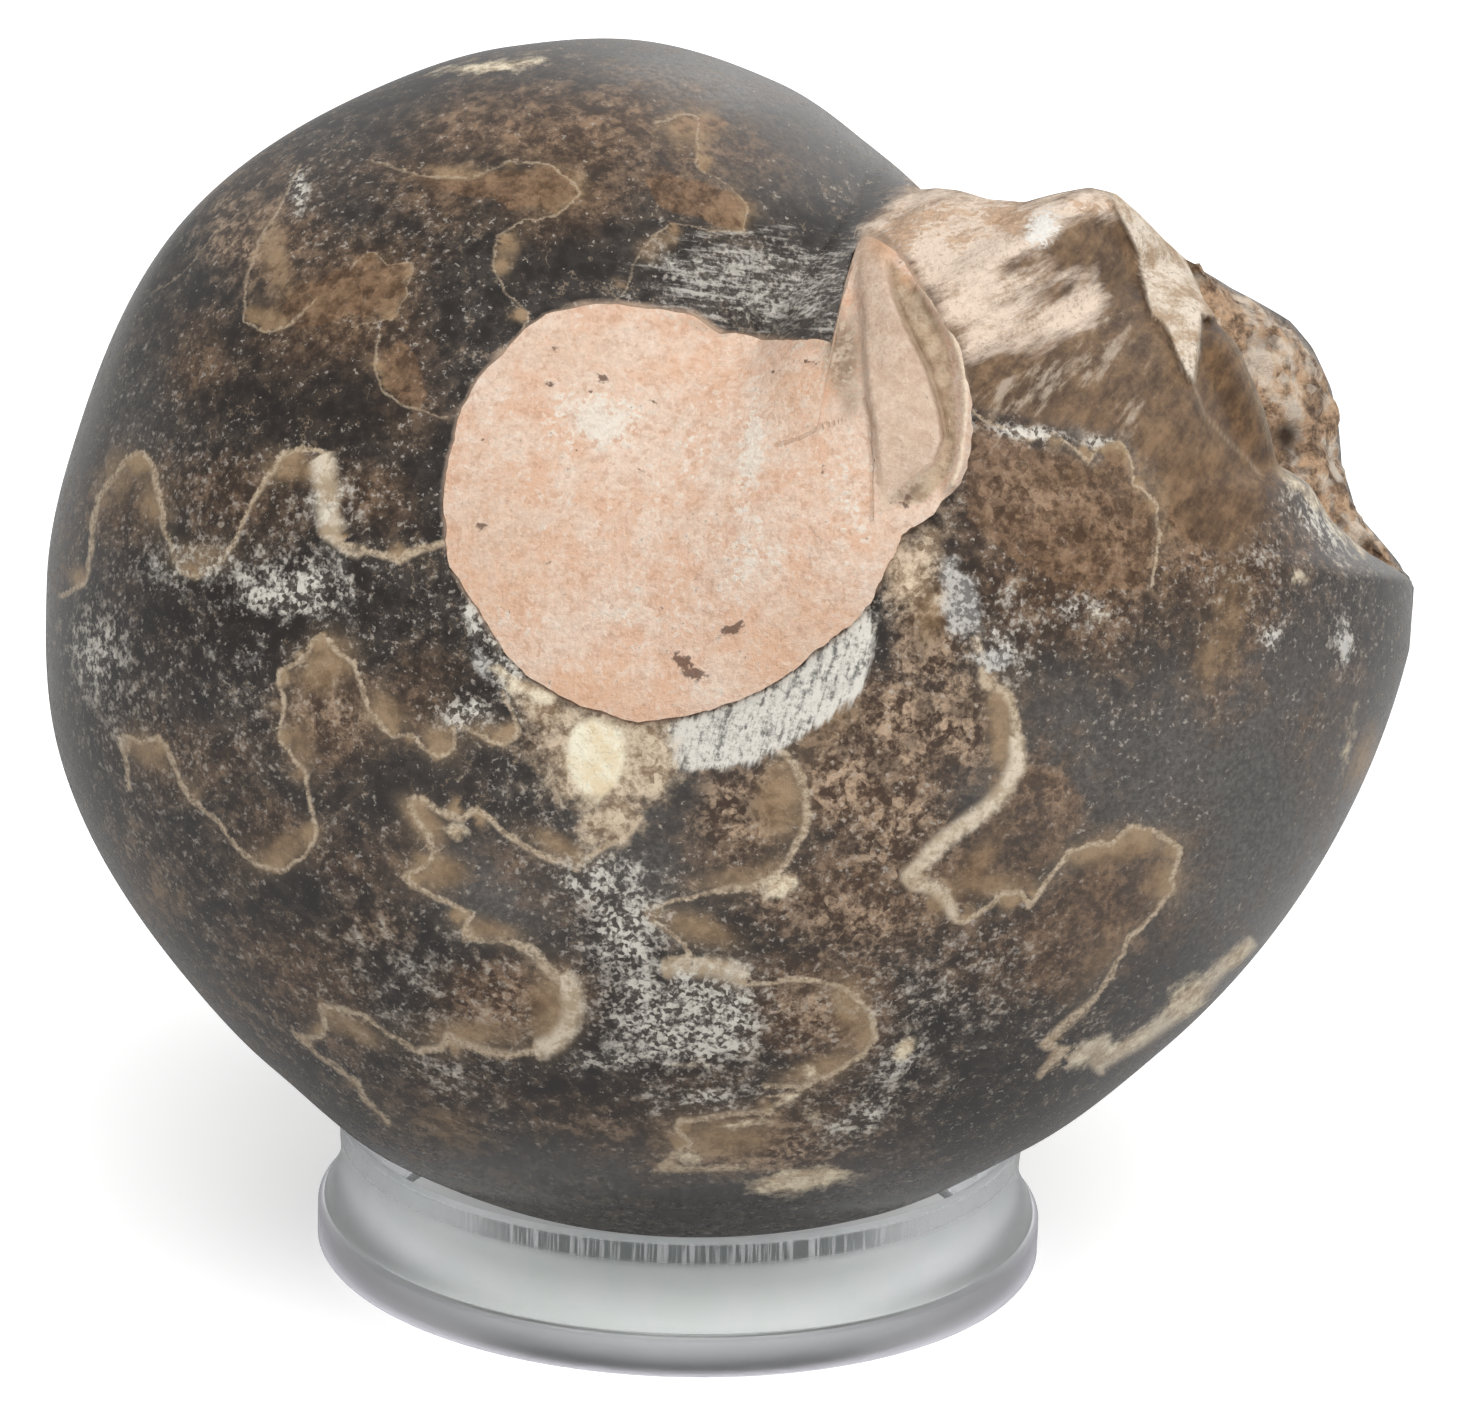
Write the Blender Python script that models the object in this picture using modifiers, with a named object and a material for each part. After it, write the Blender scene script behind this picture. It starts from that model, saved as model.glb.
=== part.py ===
"""A polished globular fossil ammonite resting in a clear turned ring stand.

Metres, +Z up. The fossil is modelled in its own coil frame: u to the right and v up in the
coil's plane, w along the coil axis towards the front. It leans back in the ring, so that the
coil axis points up towards someone who looks down at the stand.
"""
import math

import bmesh
import bpy
import numpy as np
from mathutils import Matrix, Vector

MM = 0.001
GAP = 0.35 * MM                     # clearance between touching pieces
MITRE_LIMIT = 0.3                   # a sharp corner is moved no further than this allows

# Ring stand: a turned ring, a little over two inches across its foot.
RING_FOOT_RADIUS = 25.8 * MM
RING_COVE_DEPTH = 0.55 * MM
RING_LIP_RADIUS = 24.3 * MM
RING_SEAT_RADIUS = 23.85 * MM
RING_BORE_RADIUS = 21.3 * MM
RING_SEAT_DEPTH = 3.2 * MM
RING_HEIGHT = 9.6 * MM
RING_FOOT_HEIGHT = 2.7 * MM
RING_LIP_HEIGHT = 1.8 * MM
RING_BEVEL = 0.25 * MM
RING_STEPS = 72

# Where the coil's centre stands over the ring, and how the fossil lies in it.
COIL_CENTRE = Vector((-4.8, 1.0, 51.68)) * MM
LEAN_BACK = math.radians(16.4)
COIL_ROLL = math.radians(1.6)       # turned a little anticlockwise about the coil axis

# The last whorl: a logarithmic spiral, from where the whorl before it shows to the broken end.
RADIUS_AT_ZERO = 29.1 * MM
SPIRAL_GROWTH = 0.1032              # per radian: the radius grows 1.9 times a turn
SPIRAL_UNEVEN = [                   # degrees, mm: where the outline swells out of the spiral
    (57, -0.2), (72, 0.37), (88, 0.66), (104, 0.29), (120, 0.0), (144, 0.49), (168, -0.23),
    (184, 0.22), (200, 0.74), (226, -0.08), (236, 0.05), (250, 1.0), (266, 1.2), (290, 1.2),
    (303, 0.6), (316, 0.1), (352, 0.1),
]
WHORL_START = 57.0                  # degrees
WHORL_END = 352.0
HALF_THICKNESS_START = 28.5 * MM
HALF_THICKNESS_END = 38.5 * MM

# Front-view grid: the outlines of the broken end and of the matrix are drawn on it, x to the
# right and y down. It is a view along the coil axis, and one unit is GRID_UNIT in the coil plane.
GRID_UNIT = 0.0697 * MM
GRID_CENTRE = (630.0, 540.0)
VIEW_DISTANCE = 490.0 * MM

# Outermost outline of the broken end: grid x, grid y, height above the coil plane in mm.
BROKEN_OUTLINE = [
    (1416, 587, 0), (1405, 564, 0), (1361, 513, 0), (1346, 464, 0), (1342, 420, 0),
    (1335, 387, 0), (1316, 346, 0), (1294, 320, 0), (1235, 287, 2), (1183, 257, 9),
    (1164, 239, 13), (1135, 209, 16), (1116, 193, 17), (1090, 187, 17), (1057, 193, 17),
    (1024, 202, 16), (989, 199, 15), (958, 190, 13), (936, 188, 11), (921, 190, 7),
]
# Crest where the front of the broken end breaks off above the rough core.
FRONT_CREST = [
    (1412, 579, 0), (1400, 572, 2), (1364, 550, 6), (1331, 520, 10), (1309, 483, 13),
    (1279, 464, 15.5), (1272, 435, 17), (1264, 405, 18), (1250, 372, 18.5), (1237, 342, 18.5),
    (1220, 324, 18), (1203, 300, 16), (1183, 257, 9.5),
]
# Half thickness of the front and the squareness of its section over the broken end: degrees, mm, power.
BROKEN_SECTION = [(352, 38.5, 2.0), (365, 37.5, 2.5), (380, 35.5, 3.0), (398, 33.5, 3.0),
                  (410, 31.5, 2.6), (417, 28.5, 2.0)]
BACK_BREAK = (387.0, 402.0)         # degrees: here the back falls to the whorl before
# The rear flank is fuller and squarer where it rests on the ring: degrees, fullness, power.
REAR_SECTION = [(57, 1.0, 2.0), (215, 1.0, 2.0), (265, 1.05, 3.8), (285, 1.05, 3.8),
                (330, 1.0, 2.0), (417, 1.0, 2.0)]
BACK_SHOULDER = 0.8                 # share of the whorl's radius where the back turns up to the break
MIDDLE_REACH = 13.0 * MM            # the flanks level out this near the coil's axis
CORE_HEIGHT = 6.0 * MM              # rough core at the foot of the crest
CORE_FOOT = 0.6 * MM                # how far out of the crest the core starts
CORE_LUMP = 0.7 * MM
CORE_WAVES = ((1900.0, 600.0), (-700.0, 1500.0))    # radians per metre of u and of v

# Matrix: outline of the filled umbilicus with its lip, in order round MATRIX_CENTRE.
MATRIX_CENTRE = (800, 520, 33)
MATRIX_OUTLINE = [
    (896, 534), (912, 526), (941, 500), (960, 483), (966, 455), (967, 426), (967, 383),
    (956, 348), (942, 320), (921, 285), (903, 255), (885, 235), (870, 229), (861, 238),
    (853, 262), (846, 290), (840, 318), (833, 345), (809, 341), (763, 338), (721, 331),
    (697, 313), (672, 310), (626, 303), (584, 303), (549, 315), (525, 331), (500, 352),
    (490, 376), (468, 411), (454, 446), (447, 478), (446, 527), (451, 569), (483, 608),
    (507, 639), (525, 667), (570, 699), (605, 710), (640, 720), (672, 717), (721, 703),
    (774, 678), (816, 646), (841, 627), (861, 608), (876, 584), (885, 558),
]
MATRIX_HEIGHT = 33.0                # mm above the coil plane, near enough for the grid
MATRIX_PROUD = 0.6 * MM
BOWL_DEPTH = 9.0 * MM
BOWL_LEVEL = 31.0 * MM              # of the flank above the deep of the bowl
BED_LIFT = 0.5 * MM                 # of the matrix off the bowl
BOWL_CALM = (-36, -24, -12, 0, 12, 24, 36)      # degrees: the deep of the bowl follows these on average
# The lip: a folded crest and the groove behind it, grid x, y.
LIP_CREST = [(880, 238), (915, 285), (940, 330), (955, 380), (957, 430), (947, 478), (915, 508)]
LIP_SPINE = [(868, 262), (874, 320), (884, 390), (896, 450)]
LIP_CREST_RISE = 2.0 * MM
LIP_CREST_WIDTH = 1.6 * MM
LIP_SPINE_RISE = 1.2 * MM
LIP_SPINE_WIDTH = 2.0 * MM
FLAKED_DEPTH = 2.0 * MM             # the outer layer is lost on the broken end, beside the lip
FLAKED_CENTRE = (1075, 365, 25)
FLAKED_REACH = 17.4 * MM
FLAKED_EDGE = 3.0 * MM              # the loss runs out to nothing over this width at the crest

CREST_LIMIT = 0.985                 # the crest stays this share of the way out to the outline
REACH_LIMIT = 80.0 * MM             # no point of the outline is further than this from the matrix
REAR_DISH_RADIUS = 11.0 * MM
REAR_DISH_DEPTH = 5.0 * MM

# Mesh density.
LIP_COLUMNS = (76.8, 79.4)          # degrees: columns at the lip's tip and at the corner under it
BREAK_COLUMNS = 24
WHOLE_COLUMNS = 66
BOWL_ROWS = 5
MATRIX_ROWS = 9
FLANK_ROWS = 11
CORE_ROWS = 3
BACK_ROWS = 12


# ---------------------------------------------------------------- the shell's shape

def whorl_angle(u, v):
    """Degrees along the last whorl, from WHORL_START to one turn later."""
    turn = np.degrees(np.arctan2(v, u))
    return WHORL_START + (turn - WHORL_START) % 360.0


def eased(value, table):
    """Value looked up in a table of (position, level), easing in and out of every entry."""
    at, level = np.array(table, float).T
    step = np.clip(np.searchsorted(at, value) - 1, 0, len(at) - 2)
    share = np.clip((value - at[step]) / (at[step + 1] - at[step]), 0.0, 1.0)
    return level[step] + (level[step + 1] - level[step]) * share * share * (3.0 - 2.0 * share)


def spiral_radius(turn):
    return RADIUS_AT_ZERO * np.exp(SPIRAL_GROWTH * np.radians(turn)) + eased(turn, SPIRAL_UNEVEN) * MM


def from_grid(x, y, height_mm):
    """Coil-plane position of a grid point that lies height_mm above the coil plane."""
    scale = GRID_UNIT * (VIEW_DISTANCE - np.asarray(height_mm) * MM) / VIEW_DISTANCE
    u = (np.asarray(x, float) - GRID_CENTRE[0]) * scale
    v = (GRID_CENTRE[1] - np.asarray(y, float)) * scale
    return u, v


def whorl_curve(points, start, end):
    """Grid points as rising whorl angles with radius and height, closed on the spiral."""
    x, y, height = np.array(points, float).T
    u, v = from_grid(x, y, height)
    turn = whorl_angle(u, v)
    order = np.argsort(turn)
    radius = np.hypot(u, v)
    turn = np.concatenate(([start], turn[order], [end]))
    radius = np.concatenate(([spiral_radius(start)], radius[order], [spiral_radius(end - 360.0)]))
    height = np.concatenate(([0.0], height[order] * MM, [0.0]))
    return turn, radius, height


OUTLINE = whorl_curve(BROKEN_OUTLINE, WHORL_END, WHORL_START + 360.0)


def outline_radius(turn):
    broken = np.interp(turn, OUTLINE[0], OUTLINE[1])
    return np.where(turn < WHORL_END, spiral_radius(turn), broken)


def outline_height(turn):
    return np.interp(turn, OUTLINE[0], OUTLINE[2])


def crest(turn):
    """Radius and height of the edge where the front surface ends."""
    turns, radii, heights = whorl_curve(FRONT_CREST, WHORL_END, WHORL_START + 360.0)
    last = turns[-2]
    radius = np.where((turn > WHORL_END) & (turn < last),
                      np.interp(turn, turns[:-1], radii[:-1]), outline_radius(turn))
    height = np.where(turn < last, np.interp(turn, turns, heights), outline_height(turn))
    return np.minimum(radius, outline_radius(turn)), height


def half_thickness(turn):
    turns, thickness, _ = np.array(BROKEN_SECTION).T
    whole = np.interp(turn, [WHORL_START, WHORL_END], [HALF_THICKNESS_START, HALF_THICKNESS_END])
    return np.where(turn < WHORL_END, whole, np.interp(turn, turns, thickness * MM))


def section_power(turn):
    turns, _, power = np.array(BROKEN_SECTION).T
    return np.interp(turn, turns, power)


def flank_thickness(turn, radius):
    """Half thickness under a point of the flank, eased to one value at the coil's centre."""
    middle = 0.5 * (HALF_THICKNESS_START + HALF_THICKNESS_END)
    share = np.clip(radius / MIDDLE_REACH, 0.0, 1.0)
    return middle + (half_thickness(turn) - middle) * share * share * (3.0 - 2.0 * share)


def nearness(u, v, path, width, height_mm):
    """1 on a path of grid points, fading to 0 over width metres."""
    x, y = np.array(path, float).T
    pu, pv = from_grid(x, y, height_mm)
    best = np.full(np.shape(u), np.inf)
    for k in range(len(pu) - 1):
        du, dv = pu[k + 1] - pu[k], pv[k + 1] - pv[k]
        along = np.clip(((u - pu[k]) * du + (v - pv[k]) * dv) / (du * du + dv * dv), 0.0, 1.0)
        best = np.minimum(best, np.hypot(u - pu[k] - along * du, v - pv[k] - along * dv))
    return np.exp(-(best / width) ** 2)


def dome(u, v):
    """The flank as it would be with its outer layer whole."""
    turn, radius = whorl_angle(u, v), np.hypot(u, v)
    edge, edge_height = crest(turn)
    thick = flank_thickness(turn, radius)
    fall = np.sqrt(np.clip(1.0 - (radius / edge) ** section_power(turn), 0.0, 1.0))
    return edge_height + (thick - edge_height) * fall


def core(u, v):
    """The rough core outside the crest."""
    turn, radius = whorl_angle(u, v), np.hypot(u, v)
    edge, edge_height = crest(turn)
    outer = outline_radius(turn)
    across = np.clip((radius - edge) / np.maximum(outer - edge, 0.1 * MM), 0.0, 1.0)
    foot = np.minimum(CORE_HEIGHT, 0.6 * edge_height)
    first, second = CORE_WAVES
    lumps = CORE_LUMP * np.sin(first[0] * u + first[1] * v) * np.sin(second[0] * u + second[1] * v)
    rise = np.sqrt(np.clip(1.0 - across ** 2, 0.0, 1.0))
    return outline_height(turn) + (foot - outline_height(turn) + lumps) * rise


def flaked(u, v):
    cu, cv = from_grid(*FLAKED_CENTRE)
    return FLAKED_DEPTH * np.exp(-(np.hypot(u - cu, v - cv) / FLAKED_REACH) ** 4)


def front(u, v):
    """Height of the front surface over the coil plane."""
    turn, radius = whorl_angle(u, v), np.hypot(u, v)
    edge, edge_height = crest(turn)
    lost = flaked(u, v) * np.clip((edge - radius) / FLAKED_EDGE, 0.0, 1.0)
    return np.where(radius <= edge * 1.0001, dome(u, v) - lost, core(u, v))


def back(u, v):
    """Height of the back surface, below the coil plane but at the broken end."""
    turn, radius = whorl_angle(u, v), np.hypot(u, v)
    outer = outline_radius(turn)
    older = spiral_radius(turn - 360.0)
    share = np.clip((turn - BACK_BREAK[0]) / (BACK_BREAK[1] - BACK_BREAK[0]), 0.0, 1.0)
    whorl = np.minimum(outer + (older - outer) * share, outer)
    fullness = eased(turn, [(at, level) for at, level, _ in REAR_SECTION])
    power = eased(turn, [(at, level) for at, _, level in REAR_SECTION])
    section = np.sqrt(np.clip(1.0 - (radius / whorl) ** power, 0.0, 1.0))
    flank = fullness * flank_thickness(turn, radius) * section
    shoulder = BACK_SHOULDER * whorl
    lift = np.clip((radius - shoulder) / (outer - shoulder), 0.0, 1.0) ** 2
    dish = REAR_DISH_DEPTH * np.exp(-(radius / REAR_DISH_RADIUS) ** 4)
    return outline_height(turn) * lift - flank + dish


# ---------------------------------------------------------------- grids shared by shell and matrix

def column_angles():
    """Angles of the mesh columns round the matrix centre, closer together on the broken end."""
    tip, corner = LIP_COLUMNS
    fine = np.linspace(0.0, tip, BREAK_COLUMNS)
    coarse = np.linspace(corner, 360.0, WHOLE_COLUMNS, endpoint=False)
    return np.radians(np.concatenate((fine, coarse)))


def matrix_radius(angles):
    """Radius of the matrix outline about its centre, at each angle."""
    cu, cv = from_grid(*MATRIX_CENTRE)
    x, y = np.array(MATRIX_OUTLINE, float).T
    u, v = from_grid(x, y, MATRIX_HEIGHT)
    around = np.arctan2(v - cv, u - cu) % (2.0 * math.pi)
    order = np.argsort(around)
    return np.interp(angles, around[order], np.hypot(u - cu, v - cv)[order], period=2.0 * math.pi)


def reach_along(angles, limit):
    """Distance from the matrix centre, at each angle, to where the coil radius meets a limit."""
    cu, cv = from_grid(*MATRIX_CENTRE)
    near, far = np.zeros(len(angles)), np.full(len(angles), REACH_LIMIT)
    for _ in range(40):
        half = 0.5 * (near + far)
        u, v = cu + half * np.cos(angles), cv + half * np.sin(angles)
        outside = np.hypot(u, v) > limit(whorl_angle(u, v))
        far = np.where(outside, half, far)
        near = np.where(outside, near, half)
    return 0.5 * (near + far)


def ring_points(angles, distance, height):
    cu, cv = from_grid(*MATRIX_CENTRE)
    u, v = cu + distance * np.cos(angles), cv + distance * np.sin(angles)
    return np.column_stack((u, v, height(u, v)))


def bowl_rings(angles):
    """Rings of the umbilicus under the matrix, from the middle out to its rim."""
    rim = matrix_radius(angles)
    turns = np.radians(BOWL_CALM)
    calm = np.mean([matrix_radius(angles + turn) for turn in turns], axis=0)
    rings = []
    for row in range(1, BOWL_ROWS + 1):
        share = row / BOWL_ROWS
        ring = ring_points(angles, calm * share + (rim - calm) * share ** 6, front)
        level = BOWL_LEVEL + (ring[:, 2] - BOWL_LEVEL) * share ** 4
        ring[:, 2] = level - BOWL_DEPTH * (1.0 - share ** 3) ** 0.6
        rings.append(ring)
    return rings


def loft(name, rings, poles, material):
    """A closed body through rings of equal length, front to back, with a pole at each end."""
    count = len(rings[0])
    points = [tuple(poles[0])] + [tuple(p) for ring in rings for p in ring] + [tuple(poles[1])]
    faces = []
    last = len(points) - 1
    for k in range(count):
        faces.append((0, 1 + k, 1 + (k + 1) % count))
    for row in range(len(rings) - 1):
        for k in range(count):
            n = (k + 1) % count
            a, b = 1 + row * count + k, 1 + (row + 1) * count + k
            c, d = 1 + (row + 1) * count + n, 1 + row * count + n
            if math.dist(points[a], points[c]) < math.dist(points[b], points[d]):
                faces += [(a, b, c), (a, c, d)]
            else:
                faces += [(a, b, d), (b, c, d)]
    base = 1 + (len(rings) - 1) * count
    for k in range(count):
        faces.append((base + (k + 1) % count, base + k, last))
    mesh = bpy.data.meshes.new(name)
    mesh.from_pydata(points, [], faces)
    mesh.shade_smooth()
    mesh.set_sharp_from_angle(angle=math.radians(40))
    body = bpy.data.objects.new(name, mesh)
    body.data.materials.append(material)
    return body


# ---------------------------------------------------------------- materials

def material(name, colour, roughness, transmission=0.0, ior=1.5):
    made = bpy.data.materials.new(name)
    made.use_nodes = True
    shader = made.node_tree.nodes["Principled BSDF"]
    shader.inputs["Base Color"].default_value = (*colour, 1.0)
    shader.inputs["Roughness"].default_value = roughness
    shader.inputs["Metallic"].default_value = 0.0
    shader.inputs["Transmission Weight"].default_value = transmission
    shader.inputs["IOR"].default_value = ior
    return made


# ---------------------------------------------------------------- sub-parts

def make_ammonite():
    angles = column_angles()
    rim = matrix_radius(angles)
    edge = reach_along(angles, lambda turn: crest(turn)[0])
    outer = reach_along(angles, outline_radius)
    edge = np.minimum(edge, rim + (outer - rim) * CREST_LIMIT)
    rings = bowl_rings(angles)[:-1]
    for row in range(FLANK_ROWS + 1):
        share = math.sin(0.5 * math.pi * row / FLANK_ROWS)
        rings.append(ring_points(angles, rim + (edge - rim) * share, front))
    foot = edge + np.minimum(CORE_FOOT, 0.3 * (outer - edge))
    for row in range(CORE_ROWS):
        share = math.sin(0.5 * math.pi * row / CORE_ROWS)
        rings.append(ring_points(angles, foot + (outer - foot) * share, core_or_front))
    rings.append(ring_points(angles, outer, lambda u, v: outline_height(whorl_angle(u, v))))
    for row in range(1, BACK_ROWS):
        share = math.cos(0.5 * math.pi * row / BACK_ROWS)
        rings.append(ring_points(angles, outer * share, back))
    cu, cv = from_grid(*MATRIX_CENTRE)
    middle = np.array([cu]), np.array([cv])
    floor = BOWL_LEVEL - BOWL_DEPTH
    poles = [(cu, cv, floor), (cu, cv, float(back(*middle)[0]))]
    stone = material("polished_calcite", (0.06, 0.045, 0.036), 0.25)
    return loft("ammonite", rings, poles, stone)


def core_or_front(u, v):
    """Outside the crest the core, and on the whole whorl the flank's last few degrees."""
    turn, radius = whorl_angle(u, v), np.hypot(u, v)
    return np.where(radius > crest(turn)[0], core(u, v), front(u, v))


def matrix_top(u, v):
    crest_rise = LIP_CREST_RISE * nearness(u, v, LIP_CREST, LIP_CREST_WIDTH, MATRIX_HEIGHT)
    spine_rise = LIP_SPINE_RISE * nearness(u, v, LIP_SPINE, LIP_SPINE_WIDTH, MATRIX_HEIGHT)
    return dome(u, v) + MATRIX_PROUD + np.maximum(crest_rise, spine_rise)


def inset(ring):
    """A ring of points moved in by GAP, square to its own sides in the coil plane."""
    side = np.roll(ring[:, :2], -1, axis=0) - ring[:, :2]
    inward = np.column_stack((-side[:, 1], side[:, 0])) / np.hypot(*side.T)[:, None]
    before = np.roll(inward, 1, axis=0)
    mitre = np.maximum(1.0 + np.sum(inward * before, axis=1), MITRE_LIMIT)[:, None]
    moved = ring.copy()
    moved[:, :2] += GAP * (inward + before) / mitre
    return moved


def make_matrix():
    angles = column_angles()
    beds = bowl_rings(angles)
    cu, cv = from_grid(*MATRIX_CENTRE)
    u, v, _ = inset(beds[-1]).T
    rings = []
    for row in range(1, MATRIX_ROWS + 1):
        share = math.sin(0.5 * math.pi * row / MATRIX_ROWS)
        ru, rv = cu + (u - cu) * share, cv + (v - cv) * share
        rings.append(np.column_stack((ru, rv, matrix_top(ru, rv))))
    for bed in reversed(beds):                  # the bowl under it, clear by the gap
        rings.append(inset(bed) + (0.0, 0.0, BED_LIFT))
    middle = np.array([cu]), np.array([cv])
    top = float(matrix_top(*middle)[0])
    floor = BOWL_LEVEL - BOWL_DEPTH + BED_LIFT
    rock = material("sandy_matrix", (0.62, 0.36, 0.23), 0.85)
    return loft("umbilical_matrix", rings, [(cu, cv, top), (cu, cv, floor)], rock)


def ring_profile():
    """Outer side from top to bottom, then up the bore, as (radius, height)."""
    lip_bottom = RING_HEIGHT - RING_LIP_HEIGHT
    foot_top = RING_FOOT_HEIGHT + RING_BEVEL
    points = [(RING_LIP_RADIUS - RING_BEVEL, RING_HEIGHT),
              (RING_LIP_RADIUS, RING_HEIGHT - RING_BEVEL), (RING_LIP_RADIUS, lip_bottom)]
    for share in (0.25, 0.5, 0.75):             # the cove between lip and foot
        height = lip_bottom + (foot_top - lip_bottom) * share
        line = RING_LIP_RADIUS + (RING_FOOT_RADIUS - RING_BEVEL - RING_LIP_RADIUS) * share
        hollow = RING_COVE_DEPTH * math.sin(math.pi * share)
        points.append((line - hollow, height))
    points += [(RING_FOOT_RADIUS - RING_BEVEL, foot_top), (RING_FOOT_RADIUS, RING_FOOT_HEIGHT),
               (RING_FOOT_RADIUS, 0.0), (RING_BORE_RADIUS, 0.0),
               (RING_BORE_RADIUS, RING_HEIGHT - RING_SEAT_DEPTH), (RING_SEAT_RADIUS, RING_HEIGHT)]
    return points


def make_ring():
    mesh = bpy.data.meshes.new("display_ring")
    shape = bmesh.new()
    corners = [shape.verts.new((radius, 0.0, height)) for radius, height in ring_profile()]
    for k in range(len(corners)):
        shape.edges.new((corners[k], corners[(k + 1) % len(corners)]))
    shape.to_mesh(mesh)
    shape.free()
    ring = bpy.data.objects.new("display_ring", mesh)
    turned = ring.modifiers.new("turned", "SCREW")
    turned.axis = "Z"
    turned.steps = RING_STEPS
    turned.render_steps = RING_STEPS
    turned.use_merge_vertices = True
    turned.merge_threshold = 0.00005
    turned.use_smooth_shade = True
    acrylic = material("clear_acrylic", (0.97, 0.98, 0.98), 0.05, transmission=1.0, ior=1.49)
    ring.data.materials.append(acrylic)
    return ring


def coil_placement():
    """The coil frame in the stand's frame: rolled about the coil axis, then leaned back."""
    front_axis = Matrix.Rotation(0.5 * math.pi, 4, "X")             # w towards -Y, v up
    lean = Matrix.Rotation(-LEAN_BACK, 4, "X")
    roll = Matrix.Rotation(COIL_ROLL, 4, "Z")
    return Matrix.Translation(COIL_CENTRE) @ lean @ front_axis @ roll


def stand_on_origin(stand, parts):
    """Move the stand so that the bottom centre of everything's box is the origin."""
    bpy.context.view_layer.update()
    graph = bpy.context.evaluated_depsgraph_get()
    low, high = Vector((1e9,) * 3), Vector((-1e9,) * 3)
    for part in parts:
        shown = part.evaluated_get(graph)
        mesh = shown.to_mesh()
        for vertex in mesh.vertices:
            place = shown.matrix_world @ vertex.co
            low = Vector(map(min, low, place))
            high = Vector(map(max, high, place))
        shown.to_mesh_clear()
    middle = 0.5 * (low + high)
    stand.location = (-middle.x, -middle.y, -low.z)


def build():
    for thing in list(bpy.data.objects):
        bpy.data.objects.remove(thing, do_unlink=True)
    collection = bpy.data.collections.new("fossil_ammonite")
    bpy.context.scene.collection.children.link(collection)
    stand = bpy.data.objects.new("stand_frame", None)
    coil = bpy.data.objects.new("coil_frame", None)
    coil.parent = stand
    coil.matrix_local = coil_placement()
    ammonite, matrix, ring = make_ammonite(), make_matrix(), make_ring()
    for thing in (stand, coil, ammonite, matrix, ring):
        collection.objects.link(thing)
    ammonite.parent = coil
    matrix.parent = coil
    ring.parent = stand
    stand_on_origin(stand, (ammonite, matrix, ring))


build()
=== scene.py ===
"""A polished fossil ammonite in its clear ring stand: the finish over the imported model.

The fossil is one lofted skin. Its form comes from the spiral and the section that the model
uses, with the flap, the flute and the rough core of the broken end worked in. What is only
colour on the stone, such as the cream suture lines, the amber beside them and the white
grains, is kept as measures on the skin's points, and the stone's material reads them.

Coil frame: u to the right and v up in the plane of the coil, w towards the front.
Front grid: x to the right, y down, seen along the coil axis; one unit is GRID_UNIT at w = 0.
Soft patch: grid x and y, half length, half breadth, turn in degrees (anticlockwise), strength.
Outline: grid points, and where there are three numbers, the last is the height in mm.
"""
import math
from types import SimpleNamespace

import bpy
import numpy as np
from mathutils import Matrix, Vector, noise
from mathutils.kdtree import KDTree


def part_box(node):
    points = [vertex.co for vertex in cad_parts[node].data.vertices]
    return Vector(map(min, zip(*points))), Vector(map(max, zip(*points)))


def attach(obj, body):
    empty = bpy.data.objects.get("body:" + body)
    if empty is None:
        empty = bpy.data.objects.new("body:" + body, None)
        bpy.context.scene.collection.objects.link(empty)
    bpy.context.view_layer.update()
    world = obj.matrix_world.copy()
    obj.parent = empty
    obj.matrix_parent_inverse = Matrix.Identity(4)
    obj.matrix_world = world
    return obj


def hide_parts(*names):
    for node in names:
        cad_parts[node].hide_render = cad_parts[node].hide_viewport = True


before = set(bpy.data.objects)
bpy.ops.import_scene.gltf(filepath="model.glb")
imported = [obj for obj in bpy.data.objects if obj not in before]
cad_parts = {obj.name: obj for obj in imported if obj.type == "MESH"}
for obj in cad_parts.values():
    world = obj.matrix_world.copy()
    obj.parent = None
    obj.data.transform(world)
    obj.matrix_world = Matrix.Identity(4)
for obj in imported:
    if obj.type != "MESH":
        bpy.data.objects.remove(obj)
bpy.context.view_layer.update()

MM = 0.001

# ---- how the fossil lies over the ring ------------------------------------------------------
COIL_OVER_RING = Vector((-4.8, 1.0, 51.68)) * MM
LEAN_BACK = math.radians(16.4)
COIL_ROLL = math.radians(1.6)

# ---- front grid -----------------------------------------------------------------------------
GRID_UNIT = 0.0697 * MM
GRID_CENTRE = (630.0, 540.0)
VIEW_DISTANCE = 490.0 * MM
PICTURE = (1463, 1422)
SENSOR_WIDTH = 36.0
NEAREST_SEEN = 0.01

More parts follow.
